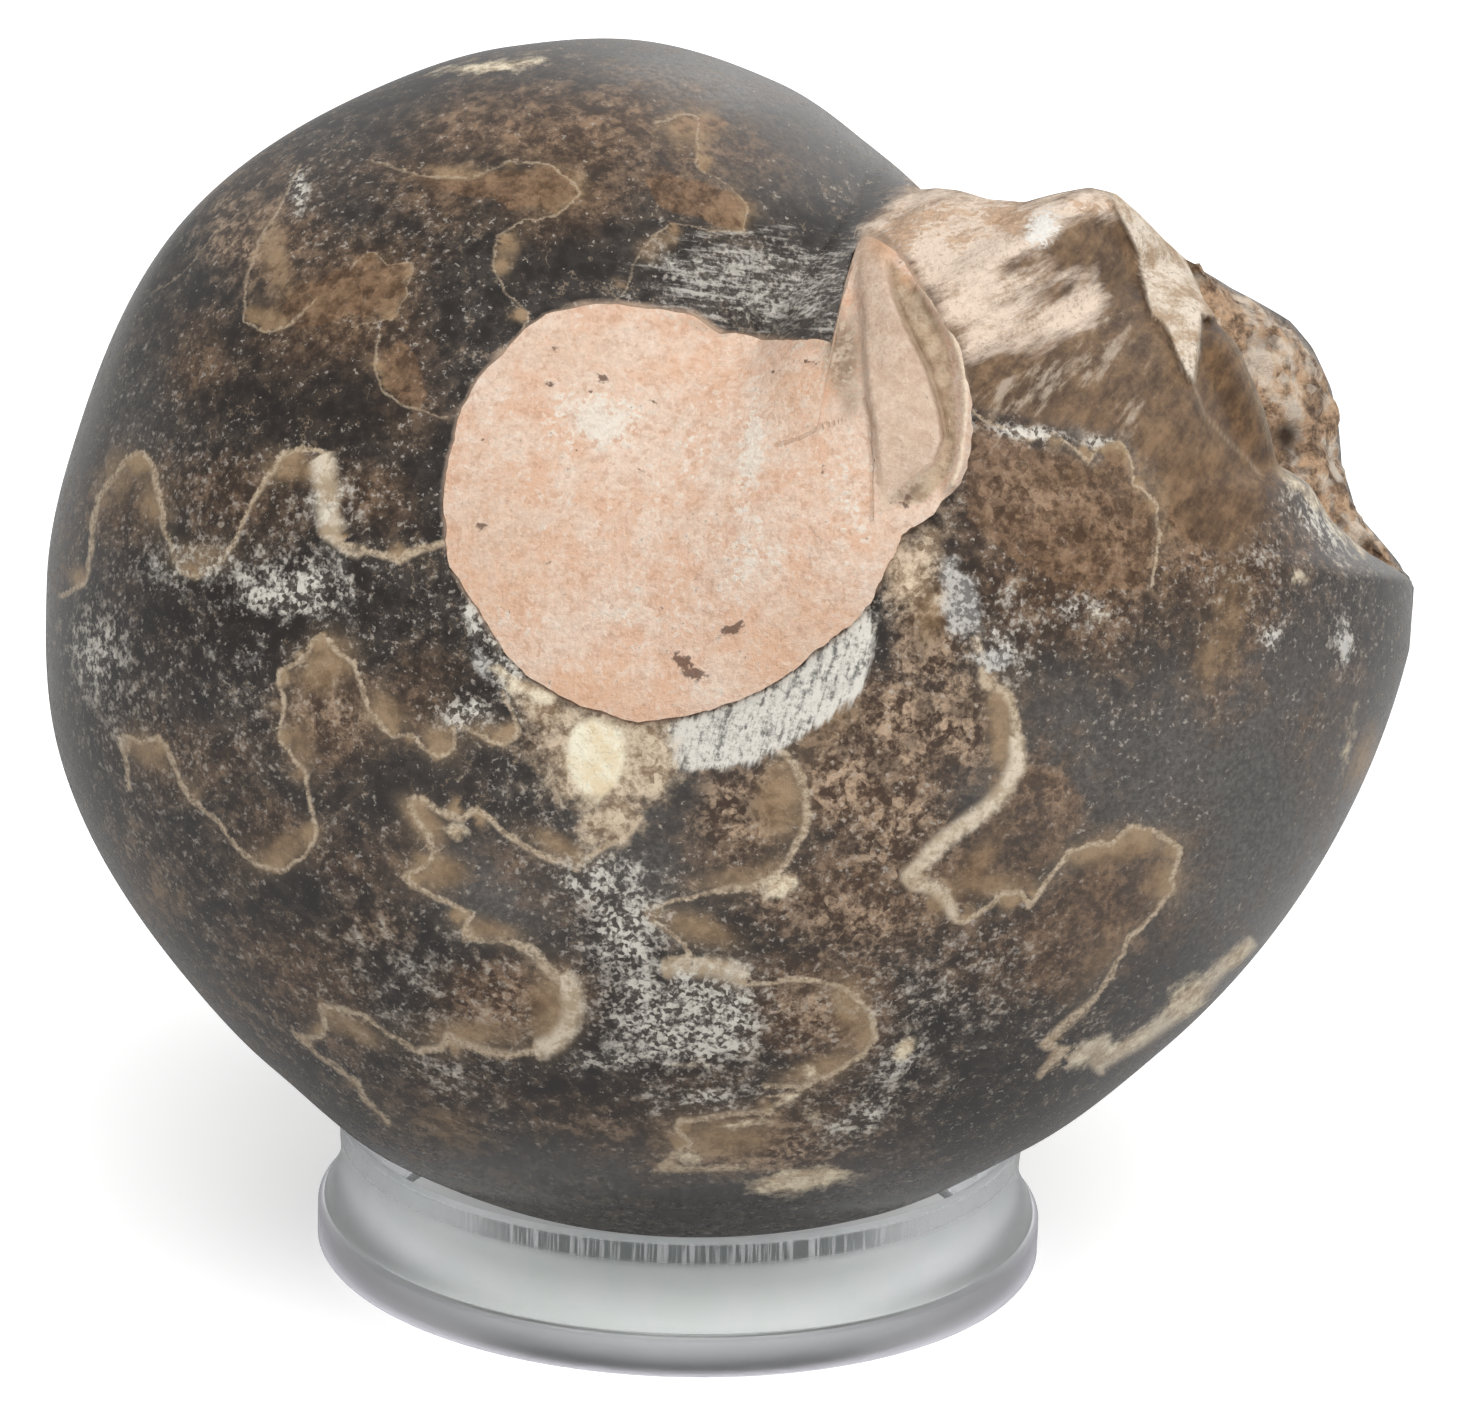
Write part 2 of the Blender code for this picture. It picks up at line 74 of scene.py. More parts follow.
# ---- the whorl ------------------------------------------------------------------------------
RADIUS_AT_ZERO = 29.1 * MM
SPIRAL_GROWTH = 0.1032
SPIRAL_UNEVEN = [
    (57, -0.2), (72, 0.37), (88, 0.66), (104, 0.29), (120, 0.0), (144, 0.49), (168, -0.23), (184, 0.22),
    (200, 0.74), (226, -0.08), (236, 0.05), (250, 1.0), (266, 1.2), (290, 1.2), (303, 0.6), (316, 0.1),
    (352, 0.1),
]
WHORL_START = 57.0
WHORL_END = 352.0
HALF_THICKNESS_START = 28.5 * MM
HALF_THICKNESS_END = 38.5 * MM
MIDDLE_REACH = 13.0 * MM
BROKEN_OUTLINE = [
    (1416, 587, 0), (1405, 564, 0), (1361, 513, 0), (1346, 464, 0), (1342, 420, 0), (1335, 387, 0),
    (1316, 346, 0), (1294, 320, 0), (1235, 287, 2), (1183, 257, 9), (1164, 239, 13), (1135, 209, 16),
    (1116, 193, 17), (1090, 187, 17), (1057, 193, 17), (1024, 202, 16), (989, 199, 15), (958, 190, 13),
    (936, 188, 11), (921, 190, 7),
]
FRONT_CREST = [
    (1412, 579, 0), (1400, 572, 2), (1364, 550, 6), (1331, 520, 10), (1309, 483, 13), (1279, 464, 15.5),
    (1272, 435, 17), (1264, 405, 18), (1250, 372, 18.5), (1237, 342, 18.5), (1220, 324, 18),
    (1203, 300, 16), (1183, 257, 9.5),
]
BROKEN_SECTION = [
    (352, 38.5, 2.0), (365, 37.5, 2.5), (380, 35.5, 3.0), (398, 33.5, 3.0), (410, 31.5, 2.6),
    (417, 28.5, 2.0),
]
BACK_BREAK = (387.0, 402.0)
REAR_SECTION = [
    (57, 1.0, 2.0), (215, 1.0, 2.0), (265, 1.05, 3.8), (285, 1.05, 3.8), (330, 1.0, 2.0),
    (417, 1.0, 2.0),
]
BACK_SHOULDER = 0.8
CORE_HEIGHT = 6.0 * MM
REAR_DISH_RADIUS = 11.0 * MM
REAR_DISH_DEPTH = 5.0 * MM

WITHIN_MODEL = (0.9985, 0.9985, 0.9955, 1.0)     # keeps the finished skins inside the model's box
CREST_LIMIT = 0.985                             # share of the way out that the crest may reach
CLIFF_REACH = (0.7 * MM, 0.35)                  # its foot stands this far out, or this share
CORE_THINNEST = 0.1 * MM
CORE_UNDER_CREST = 0.6                          # its foot is this share of the crest's height
CORE_LEAST = 1.0 * MM                           # a narrower strip of core stays smooth

# ---- the broken end's front face ------------------------------------------------------------
FLAKED_DEPTH = 2.0 * MM
FLAKED_CENTRE = (1075, 365, 25)
FLAKED_REACH = 17.4 * MM
FLAKED_EDGE = 3.0 * MM
FLAP = [
    (1108, 186), (1127, 196), (1140, 208), (1166, 237), (1196, 266), (1216, 298), (1224, 320),
    (1204, 317), (1201, 357), (1196, 385), (1186, 372), (1176, 350), (1168, 328), (1151, 313),
    (1146, 291), (1137, 250), (1124, 224), (1112, 205),
]
FLAP_RISE = 0.8 * MM
FLAP_EDGE = (-2.0, 3.0)                         # grid units outside and inside an outline
FLUTE = [(1207, 322), (1214, 360), (1232, 400), (1252, 438), (1268, 462)]
FLUTE_DEPTH = 1.0 * MM
FLUTE_WIDTH = 24.0
CRUST = [
    (868, 226), (898, 202), (921, 186), (958, 186), (989, 195), (1033, 195), (1079, 184), (1112, 186),
    (1132, 208), (1122, 240), (1132, 286), (1112, 306), (1058, 332), (1010, 350), (965, 360),
    (950, 322), (928, 288), (905, 252),
]
CRUST_RISE = 0.15 * MM
CRUST_STEP_EDGE = (-3.0, 5.0)
CRUST_EDGE = (-22.0, 22.0)
CRUST_BARE = [
    (1084, 244, 44, 26, 10, 1.5), (1060, 288, 64, 10, 18, .8), (960, 250, 14, 26, 0, .25),
    (1114, 266, 20, 34, 0, 1.4), (1030, 262, 30, 10, 12, .6),
]

# ---- the filled umbilicus -------------------------------------------------------------------
MATRIX_CENTRE = (800, 520, 33)
MATRIX_OUTLINE = [
    (896, 534), (912, 526), (941, 500), (960, 483), (966, 455), (967, 426), (967, 383), (956, 348),
    (942, 320), (921, 285), (903, 255), (885, 235), (870, 229), (861, 238), (853, 262), (846, 290),
    (840, 318), (833, 345), (809, 341), (763, 338), (721, 331), (697, 313), (672, 310), (626, 303),
    (584, 303), (549, 315), (525, 331), (500, 352), (480, 376), (463, 411), (452, 446), (447, 478),
    (446, 527), (454, 569), (478, 608), (504, 645), (532, 676), (570, 699), (605, 712), (640, 720),
    (672, 717), (721, 703), (774, 678), (816, 646), (841, 627), (861, 608), (876, 584), (885, 558),
]
MATRIX_HEIGHT = 33.0
MATRIX_PROUD = (0.04 * MM, 0.50 * MM)          # at its upper left and at its lower right
LIP_CREST = [
    (922, 286), (940, 312), (955, 340), (963, 368), (966, 400), (964, 430), (961, 460), (953, 484),
]
LIP_GROOVE = [
    (889, 262), (893, 290), (906, 324), (916, 344), (926, 364), (933, 384), (941, 410), (946, 436),
]
LIP_CREST_RISE = 1.1 * MM
LIP_CREST_WIDTH = 8.0
LIP_GROOVE_DEPTH = 0.35 * MM
LIP_GROOVE_WIDTH = 4.0
LIP_LEAF_RISE = 1.1 * MM
LIP_LEAF_END = (430.0, 505.0)                   # it sinks into the matrix between these
LIP_LEAF_EDGE = (-2.0, 6.0)
LIP_MARKS = {"leaf": (-6.0, 6.0), "groove": 3.2, "band": (-3.0, 3.0), "crest": 3.0, "crack": 2.2}
PLUG_DEPTH = 2.2 * MM
PLUG_OVERLAP = 0.12 * MM                        # of its edge over the stone
PLUG_ROW_POWER = 0.85
PLUG_SKIRT_DROPS = (0.3, 0.65, 1.0)
PLUG_SKIRT_DEPTH = 0.8 * MM
PLUG_EDGE_SINK = 0.4                            # its top's edge sinks by this share of the overlap
PROUD_FROM = (450.0, 300.0)                     # the plug stands prouder to the lower right of this
PROUD_RANGE = (150.0, 750.0)
STONE_BED = ((0.6, 1.2), (0.97, 1.0), (1.0, 0.6))    # shares of its rim, and of its depth below it
BED_MIDDLE = 1.2
CALM_REACH = 5.2 * MM
CALM_SHARE = 0.9                                # of the way to the rim that it may reach
CALM_CIRCLES = (0.5, 1.0)
CALM_SAMPLES = 10
LIP_LEAF = [
    (858, 240), (868, 232), (880, 232), (892, 250), (888, 268), (893, 292), (906, 325), (916, 345),
    (926, 365), (933, 385), (941, 412), (945, 440), (936, 465), (916, 478), (898, 492), (890, 510),
    (880, 510), (876, 470), (872, 430), (866, 400), (862, 350), (860, 310), (856, 290), (853, 265),
]
LIP_BAND = [
    (890, 258), (902, 272), (916, 285), (930, 308), (942, 330), (951, 360), (956, 400), (957, 440),
    (953, 466), (940, 486), (924, 502), (902, 506), (915, 480), (936, 466), (945, 440), (941, 412),
    (933, 385), (926, 365), (916, 345), (906, 325), (893, 292),
]
OLIVE_STAINS = [
    (842, 356, 20, 46, 0, 1.2), (850, 400, 14, 24, 0, .8), (910, 490, 20, 9, 35, 1.2),
    (818, 345, 26, 8, 0, .5), (700, 326, 40, 8, -20, .5),
]
RIM_UNEVEN = 0.30 * MM
RIM_LUMPS = 420.0                               # lumps per metre, about
RIM_NOISE = (0.8, 2.0, 5)                       # fall-off, spacing and octaves
PALE_STAINS = [
    (600, 420, 44, 26, -10, 1.0), (752, 450, 14, 56, -6, .9), (740, 520, 30, 40, 0, .4),
    (650, 520, 60, 20, 80, .3), (800, 400, 40, 12, 20, .5), (560, 500, 50, 26, 0, .35),
    (620, 610, 60, 16, 10, .4), (850, 500, 20, 60, 0, .4), (700, 440, 30, 40, 0, .4),
    (520, 620, 20, 30, 30, .3), (690, 690, 50, 10, 0, .4), (760, 560, 40, 16, 30, .5),
]
DARK_STAINS = [
    (733, 630, 11, 5, 20, 1.3), (682, 662, 12, 6, -30, 1.3), (694, 673, 9, 6, -10, 1.2),
    (590, 391, 4, 2, 20, 1.0), (548, 385, 5, 2, 0, .8), (655, 402, 5, 2, -30, .9),
    (700, 422, 6, 2, 40, .9), (620, 478, 3, 2, 0, .9), (562, 602, 3, 3, 0, .8), (660, 610, 4, 2, 0, .8),
    (484, 440, 3, 2, 0, .8), (823, 470, 4, 2, 60, .7), (553, 352, 4, 3, 0, 1.0),
    (602, 378, 5, 4, 0, 1.0), (480, 527, 6, 4, 0, 1.0), (577, 452, 3, 3, 0, .9),
    (691, 513, 3, 3, 0, .9), (512, 608, 4, 3, 0, .8), (640, 470, 3, 2, 0, .8),
    (905, 500, 16, 8, 30, .5), (775, 372, 5, 2, 0, .7), (812, 362, 10, 2, -5, .7),
]
ORANGE_STAINS = [
    (884, 244, 16, 18, -20, 1.3), (906, 280, 10, 6, -40, 1.0), (800, 396, 34, 26, 0, .7),
    (500, 560, 60, 70, 0, .5), (600, 690, 90, 24, -5, .6), (780, 640, 60, 30, 30, .6),
    (560, 350, 60, 26, 0, .5), (700, 360, 60, 20, 0, .3),
]
# A slanting crack, an upright one and a short one.
CRACKS = (
    [(775, 445), (800, 438), (822, 426), (845, 420)],
    [(870, 428), (872, 470), (872, 520)],
    [(864, 398), (868, 410), (872, 425)],
)

# ---- markings on the front grid ---------------------------------------------------------------
# Cream suture lines: half width, then points.
SUTURES = [
    (2.0, [(68, 593), (84, 585), (88, 571), (92, 545), (95, 515), (100, 494), (114, 478), (127, 458),
           (140, 452), (151, 460), (156, 478), (160, 502), (164, 526), (172, 550), (180, 571),
           (194, 577), (210, 571), (221, 561), (234, 542), (245, 518), (253, 499), (272, 472),
           (282, 454), (301, 448), (317, 451)]),
    (9.0, [(322, 462), (327, 488), (328, 512), (333, 534)]),
    (5.0, [(333, 538), (346, 548), (360, 552)]),
    (3.0, [(344, 545), (363, 550), (381, 555), (400, 561), (416, 550), (435, 545)]),
    (1.7, [(128, 782), (124, 761), (120, 737), (131, 737), (142, 743), (158, 737), (166, 747),
           (174, 766), (179, 782), (190, 801), (209, 814), (222, 828), (233, 844), (246, 857),
           (262, 868), (281, 872), (302, 857), (317, 838), (316, 825), (309, 806), (306, 785),
           (305, 771), (292, 758), (278, 739), (280, 726), (285, 707), (280, 688), (276, 672),
           (289, 667), (305, 659), (310, 643), (321, 635), (337, 651), (353, 662), (360, 680),
           (364, 694), (369, 710), (383, 729), (393, 737), (409, 734), (420, 747), (439, 758),
           (452, 750), (454, 734), (450, 720), (455, 723), (474, 731), (490, 742), (505, 747),
           (520, 734), (505, 699)]),
    (2.4, [(434, 850), (429, 836), (417, 822), (410, 808), (410, 802), (417, 798), (429, 805),
           (448, 816), (462, 820), (476, 808), (490, 820), (504, 833), (524, 847), (544, 858),
           (563, 864), (577, 868), (589, 858), (603, 847), (625, 839), (636, 824)]),
    (1.9, [(434, 850), (426, 867), (402, 876), (412, 886), (431, 897), (454, 906), (471, 917),
           (462, 931), (462, 940), (476, 940), (499, 941), (518, 945)]),
    (4.0, [(518, 945), (533, 954), (547, 970), (561, 982)]),
    (7.5, [(563, 982), (573, 993), (573, 1012), (567, 1030), (556, 1044), (535, 1052)]),
    (3.2, [(535, 1052), (521, 1055), (499, 1056), (476, 1049), (448, 1038), (440, 1049), (417, 1053)]),
    (1.8, [(417, 1053), (401, 1043), (384, 1035), (367, 1018), (342, 1010), (319, 1005), (325, 1027),
           (322, 1038), (294, 1036), (302, 1043), (319, 1057), (336, 1069), (356, 1083), (361, 1097),
           (383, 1120)]),
    (3.0, [(779, 749), (789, 756), (799, 773), (807, 796), (809, 823), (799, 843), (785, 866),
           (772, 879), (746, 889), (719, 892)]),
    (1.8, [(719, 892), (689, 899), (666, 904), (643, 909), (649, 919), (669, 932), (683, 945),
           (693, 959)]),
    (8.0, [(676, 968), (700, 966), (725, 970), (748, 984)]),
    (2.0, [(748, 984), (766, 985), (792, 980), (819, 982), (842, 989), (858, 998), (872, 1018),
           (877, 1038), (865, 1055), (845, 1068), (822, 1081), (799, 1088), (772, 1088)]),
    (2.2, [(812, 1086), (788, 1099), (769, 1114), (745, 1114), (719, 1117), (696, 1122), (679, 1122),
           (676, 1132), (689, 1146), (672, 1158), (656, 1171), (679, 1172), (739, 1169)]),
    (3.4, [(979, 647), (984, 664), (985, 686), (1001, 688), (1010, 696), (1014, 713), (1018, 736)]),
    (6.5, [(1018, 736), (1019, 760), (1008, 790), (988, 810), (964, 827), (945, 841), (928, 858)]),
    (5.0, [(928, 858), (908, 877), (915, 886), (933, 888), (947, 897), (954, 912), (956, 920)]),
    (2.0, [(956, 922), (967, 924), (981, 914), (1005, 894), (1022, 894), (1030, 907), (1042, 892),
           (1054, 875), (1071, 853), (1090, 846), (1114, 844), (1134, 827), (1151, 829), (1170, 841),
           (1182, 848), (1180, 858), (1173, 882), (1177, 892), (1163, 902), (1156, 916), (1141, 931),
           (1131, 938), (1124, 955), (1112, 976), (1099, 998)]),
    (3.0, [(1099, 998), (1068, 1025), (1044, 1046), (1068, 1051), (1047, 1072)]),
    (6.0, [(1076, 1059), (1105, 1044), (1100, 1064), (1137, 1044), (1187, 1009)]),
    (5.5, [(1187, 1007), (1210, 984), (1232, 960), (1246, 950)]),
    (0.8, [(159, 289), (176, 279), (195, 260), (212, 236), (240, 212)]),
    (1.0, [(298, 172), (279, 207), (256, 249), (245, 287), (245, 321), (268, 333), (291, 325),
           (310, 306)]),
    (0.7, [(356, 264), (371, 249), (387, 264), (413, 264), (406, 295), (394, 318), (360, 325)]),
    (0.9, [(379, 333), (373, 367), (383, 390), (406, 406), (440, 417)]),
    (0.9, [(380, 164), (423, 176), (471, 180), (510, 160), (551, 165), (582, 192), (558, 216),
           (526, 220), (498, 236), (492, 268), (509, 295), (528, 314), (524, 329)]),
    (0.8, [(663, 121), (688, 113), (698, 118), (696, 168), (720, 180), (748, 204), (744, 232),
           (708, 230), (672, 224), (653, 236), (641, 251), (634, 265), (628, 287), (615, 300)]),
    (1.3, [(975, 412), (990, 424), (1010, 428), (1030, 440), (1055, 432), (1072, 446), (1090, 462),
           (1098, 448), (1110, 441), (1124, 444), (1132, 462), (1134, 486), (1148, 492), (1158, 506),
           (1161, 532), (1158, 556), (1154, 580)]),
]
# Soft patches of each tint and of each kind of surface.
AMBER = [
    (324, 668, 34, 22, 60, .9), (386, 712, 26, 22, -40, .7), (440, 742, 20, 16, -50, .8),
    (480, 728, 24, 14, -20, .6), (146, 752, 26, 14, -40, .8), (282, 850, 34, 17, 30, .8),
    (302, 742, 18, 34, 0, .6), (424, 822, 30, 14, -45, .9), (440, 872, 34, 18, 0, .9),
    (488, 930, 36, 12, -10, .7), (560, 846, 40, 14, -30, .7), (548, 1010, 26, 40, 0, .8),
    (470, 1034, 60, 14, 0, .7), (350, 1030, 40, 14, -30, .7), (778, 800, 26, 40, -10, .9),
    (735, 880, 50, 14, 5, .6), (700, 930, 50, 16, -15, .8), (850, 1010, 20, 30, 0, .9),
    (820, 1070, 40, 15, 20, .8), (730, 1140, 60, 22, 0, .8), (1000, 730, 16, 44, 0, .8),
    (975, 870, 44, 14, 50, .9), (990, 885, 50, 14, 0, .8), (1120, 850, 60, 16, 10, .9),
    (1165, 880, 22, 24, 0, .8), (1100, 960, 50, 16, 50, .5), (120, 480, 20, 40, 0, .5),
    (152, 500, 16, 34, 10, .6), (200, 556, 30, 16, 0, .7), (292, 470, 30, 14, 0, .8),
    (690, 128, 36, 20, 0, .9), (730, 212, 26, 22, 0, .9), (552, 188, 40, 22, 0, .9),
    (460, 176, 50, 12, -5, .7), (388, 284, 26, 26, 0, .7), (330, 300, 40, 26, 20, .6),
    (276, 260, 18, 50, 15, .7), (650, 250, 20, 20, 0, .5), (1230, 620, 26, 90, -10, .6),
    (1180, 490, 60, 70, 0, .5), (1060, 475, 60, 18, 0, .45), (1090, 560, 40, 60, -20, .3),
    (1365, 760, 12, 40, -20, .9), (1210, 660, 20, 50, -15, .6), (160, 900, 30, 50, 30, .4),
    (240, 990, 20, 30, 30, .4), (830, 720, 50, 30, 30, .5), (930, 610, 24, 40, 0, .7),
    (450, 1130, 50, 30, -20, .5),
]
BROWN = [
    (300, 980, 110, 70, -35, .6), (380, 860, 80, 50, 0, .5), (210, 760, 70, 60, 0, .5),
    (560, 1120, 120, 50, 0, .4), (330, 720, 70, 80, 0, .7), (420, 700, 60, 60, 0, .7),
    (150, 760, 45, 35, 0, .5), (260, 830, 60, 50, -40, .6), (520, 880, 80, 40, -30, .5),
    (500, 1000, 90, 50, 0, .8), (740, 830, 70, 70, 0, .8), (880, 760, 100, 90, 0, 1.0),
    (860, 900, 130, 70, 0, .8), (820, 1000, 90, 70, 0, .8), (760, 1130, 130, 60, 0, .7),
    (1060, 560, 130, 120, 0, .9), (1180, 520, 120, 130, 0, .8), (1040, 800, 70, 90, -30, .6),
    (1120, 900, 80, 70, 30, .7), (1000, 960, 130, 70, 0, .5), (1230, 640, 60, 100, -10, .6),
    (440, 180, 90, 50, 0, .6), (700, 160, 90, 60, 0, .7), (560, 200, 90, 50, 0, .6),
    (340, 300, 110, 80, 0, .7), (270, 240, 60, 80, 0, .6), (240, 500, 70, 70, 0, .5),
    (130, 510, 60, 60, 0, .5), (380, 500, 50, 50, 0, .6), (420, 420, 60, 60, 0, .4),
    (170, 880, 60, 80, 30, .4), (560, 130, 170, 60, 0, .8), (1300, 520, 60, 60, 0, .6),
    (1330, 720, 40, 110, -15, .4), (450, 1120, 90, 50, -30, .5), (200, 360, 50, 70, 20, .5),
]
BLACK = [
    (250, 400, 60, 30, 0, 1.0), (1190, 640, 60, 50, 0, .5), (930, 700, 20, 20, 0, .4),
    (660, 800, 60, 24, 0, .9), (640, 830, 60, 60, 0, .8), (330, 400, 110, 60, 0, .9),
    (560, 250, 70, 50, 0, .8), (760, 150, 90, 40, -10, .4), (830, 225, 60, 26, 0, .8),
    (220, 640, 120, 70, 0, .7), (400, 790, 90, 50, -20, .6), (330, 930, 120, 70, -30, .6),
    (600, 1100, 150, 70, 0, .6), (690, 1215, 160, 30, 0, .7), (1250, 800, 110, 150, -20, .6),
    (1030, 720, 60, 90, 0, .5), (1000, 1110, 130, 70, 30, .5), (420, 470, 40, 50, 0, .6),
    (360, 600, 90, 50, 0, .5), (220, 330, 60, 60, 0, .4), (510, 330, 30, 60, 0, .6),
    (1180, 960, 60, 110, -40, .5), (900, 550, 30, 40, 0, .2), (700, 760, 50, 30, 0, .3),
]
GRAIN = [
    (700, 1100, 70, 14, 5, .6), (620, 1060, 60, 14, 0, .6), (860, 1120, 60, 20, 30, .6),
    (450, 1080, 60, 20, -30, .4), (370, 940, 60, 40, -20, .3), (120, 720, 40, 60, 0, .3),
    (850, 620, 26, 50, -20, .6), (625, 930, 44, 60, 0, .8), (690, 1020, 80, 50, 0, 1.1),
    (640, 1010, 50, 60, 0, .7), (290, 590, 70, 34, 0, .8), (205, 565, 90, 30, 0, .5),
    (466, 714, 26, 20, 0, .9), (96, 650, 36, 50, 0, .65), (1348, 640, 14, 26, 10, .75),
    (1318, 520, 54, 20, -48, .7), (775, 272, 90, 26, -8, .3), (505, 660, 18, 60, 20, 1.0),
    (475, 610, 14, 40, 12, .7), (300, 192, 10, 22, 0, .9), (1005, 650, 44, 40, 0, .5),
    (1010, 600, 36, 26, 0, .35), (330, 500, 40, 40, 0, .4), (600, 880, 60, 30, 0, .7),
    (900, 1060, 40, 20, 40, .6), (260, 700, 60, 80, 0, .2), (420, 980, 120, 60, 0, .3),
    (990, 960, 60, 30, 0, .3), (790, 300, 60, 20, 0, .6), (680, 262, 40, 30, 0, .4),
    (1080, 610, 50, 22, 0, .45), (1030, 432, 50, 8, -5, .8), (1100, 440, 20, 8, 0, .6),
    (1275, 638, 12, 16, 0, .8), (1240, 570, 50, 40, 0, .3), (250, 660, 90, 40, 0, .25),
    (930, 1000, 120, 40, 0, .3), (610, 770, 60, 70, 0, .3),
]
CREAM = [
    (745, 1126, 34, 6, 10, .75), (690, 1160, 20, 9, -20, .65), (790, 1100, 26, 6, 30, .6),
    (690, 1066, 30, 8, 0, .5), (812, 1074, 10, 14, 30, .8), (530, 690, 34, 12, -20, .8),
    (500, 672, 20, 8, -35, .7), (782, 886, 22, 12, 20, 1.0), (800, 1182, 60, 13, 8, 1.0),
    (800, 1192, 40, 10, 10, .5), (906, 1050, 18, 10, 40, .9), (500, 66, 76, 9, 6, .62),
    (456, 832, 16, 12, -20, .8), (1300, 579, 10, 10, 0, .6), (1190, 1000, 36, 20, 40, .8),
    (1240, 958, 26, 10, 45, .75), (1130, 1046, 50, 12, 30, .6), (1090, 616, 36, 10, 0, .4),
    (812, 1116, 14, 10, 0, .6), (1085, 1058, 20, 20, 0, .5), (1050, 224, 12, 14, 0, 1.2),
    (1352, 740, 8, 50, -12, .5),
]
# Brown tongues with a ragged edge: how clearly each shows, then its outline.
TONGUES = (
    (0.85, [(975, 415), (1030, 445), (1072, 452), (1095, 466), (1110, 446), (1125, 448), (1134, 486),
            (1155, 505), (1160, 535), (1150, 590), (1080, 596), (1010, 560), (965, 520), (962, 470)]),
    (1.0, [(387, 165), (420, 172), (450, 177), (478, 176), (495, 168), (522, 170), (548, 162),
           (566, 171), (580, 168), (574, 184), (584, 196), (566, 202), (554, 215), (532, 207),
           (512, 214), (492, 200), (462, 199), (430, 188)]),
    (1.0, [(279, 318), (284, 296), (300, 282), (318, 280), (333, 268), (350, 266), (358, 254),
           (375, 249), (380, 262), (396, 259), (413, 263), (406, 280), (411, 293), (398, 300),
           (400, 313), (380, 313), (366, 322), (348, 314), (325, 328), (298, 330)]),
    (1.0, [(665, 117), (690, 111), (708, 117), (724, 114), (731, 124), (716, 137), (695, 132),
           (680, 139)]),
    (1.0, [(642, 177), (668, 170), (686, 178), (704, 178), (719, 188), (734, 191), (747, 203),
           (741, 216), (745, 231), (718, 230), (698, 219), (676, 216), (655, 207)]),
    (1.0, [(400, 336), (416, 352), (424, 372), (430, 398), (420, 414), (398, 404), (382, 384),
           (378, 356)]),
    (0.62, [(1014, 770), (1004, 800), (985, 820), (950, 850), (926, 870), (950, 888), (960, 912),
            (985, 903), (1010, 884), (1030, 898), (1050, 868), (1072, 844), (1092, 806), (1076, 776),
            (1040, 764)]),
    (0.6, [(1060, 880), (1090, 858), (1130, 840), (1168, 850), (1172, 876), (1150, 912), (1128, 940),
           (1106, 976), (1066, 1012), (1030, 990), (1020, 930)]),
    (1.0, [(1172, 470), (1205, 452), (1238, 462), (1262, 482), (1258, 512), (1226, 542), (1190, 546),
           (1166, 522)]),
)
RAYS = [(770, 280, 84, 34, 0, 1.3), (840, 300, 30, 30, 0, .9)]
FIBRES = [
    (1050, 385, 90, 26, 30, 1.0), (1000, 392, 50, 16, 20, .8), (1140, 400, 50, 24, 60, .6),
    (1030, 600, 50, 14, 20, .8), (1120, 320, 40, 16, 30, .7), (1060, 434, 80, 7, 0, .9),
]
# White streaked crystals beside the matrix, then the bluish crystals and the spongy brown zones.
WHITE_BAND = [
    (664, 726), (700, 716), (766, 691), (830, 645), (868, 606), (874, 640), (862, 690), (828, 718),
    (801, 738), (760, 760), (716, 770), (672, 768), (660, 746),
]
BLUISH = [
    (964, 606, 20, 34, 0, 1.2), (950, 575, 14, 24, 0, .8), (1000, 660, 26, 16, 0, .7),
    (484, 664, 12, 22, 30, .8), (560, 690, 16, 12, 0, .4), (830, 640, 14, 30, -30, .5),
    (1345, 640, 10, 30, 10, .6), (1275, 638, 8, 12, 0, .6),
]
SPONGY = [
    (745, 1150, 90, 26, 0, .9), (370, 930, 50, 30, 0, .7), (610, 1130, 60, 20, 0, .5),
    (240, 240, 50, 60, 20, .6), (930, 640, 36, 50, 0, 1.2), (890, 730, 70, 50, 20, 1.2),
    (960, 720, 40, 60, 0, 1.0), (850, 780, 70, 40, 30, 1.0), (735, 815, 46, 50, 0, .9),
    (770, 790, 30, 40, 0, .8), (840, 920, 110, 40, -10, .7), (900, 830, 60, 60, 0, .8),
    (330, 700, 50, 50, 0, .6), (500, 1000, 60, 30, 0, .6), (800, 1010, 60, 40, 0, .8),
    (905, 590, 20, 36, 0, .7), (540, 740, 34, 26, 0, .6), (1040, 800, 50, 60, -30, .4),
    (780, 1130, 90, 24, 0, .5), (1040, 490, 90, 50, -15, .8), (1120, 540, 40, 60, 0, .6),
]
CALCITE = [
    (568, 745), (572, 728), (590, 720), (612, 722), (624, 736), (626, 760), (618, 784), (600, 800),
    (584, 796), (572, 780), (566, 764),
]
CALCITE_HALO = [
    (600, 760, 62, 58, 0, 1.1), (645, 758, 32, 44, 10, 1.3), (545, 712, 44, 22, -30, .9),
    (612, 820, 40, 26, 30, 1.0), (910, 572, 30, 40, 10, 1.0), (930, 540, 16, 30, 0, .8),
]
SMOOTH = [
    (1250, 820, 150, 190, -20, 1.0), (1050, 760, 90, 90, 0, .7), (640, 830, 60, 70, 0, .8),
    (500, 890, 70, 40, -20, .7), (1180, 420, 110, 130, 0, 1.0), (640, 1180, 300, 50, 0, .6),
    (760, 150, 120, 60, 0, .5), (690, 84, 110, 34, -12, 1.0), (1250, 780, 80, 120, -10, 1.0),
    (120, 420, 60, 120, 0, .4),
]
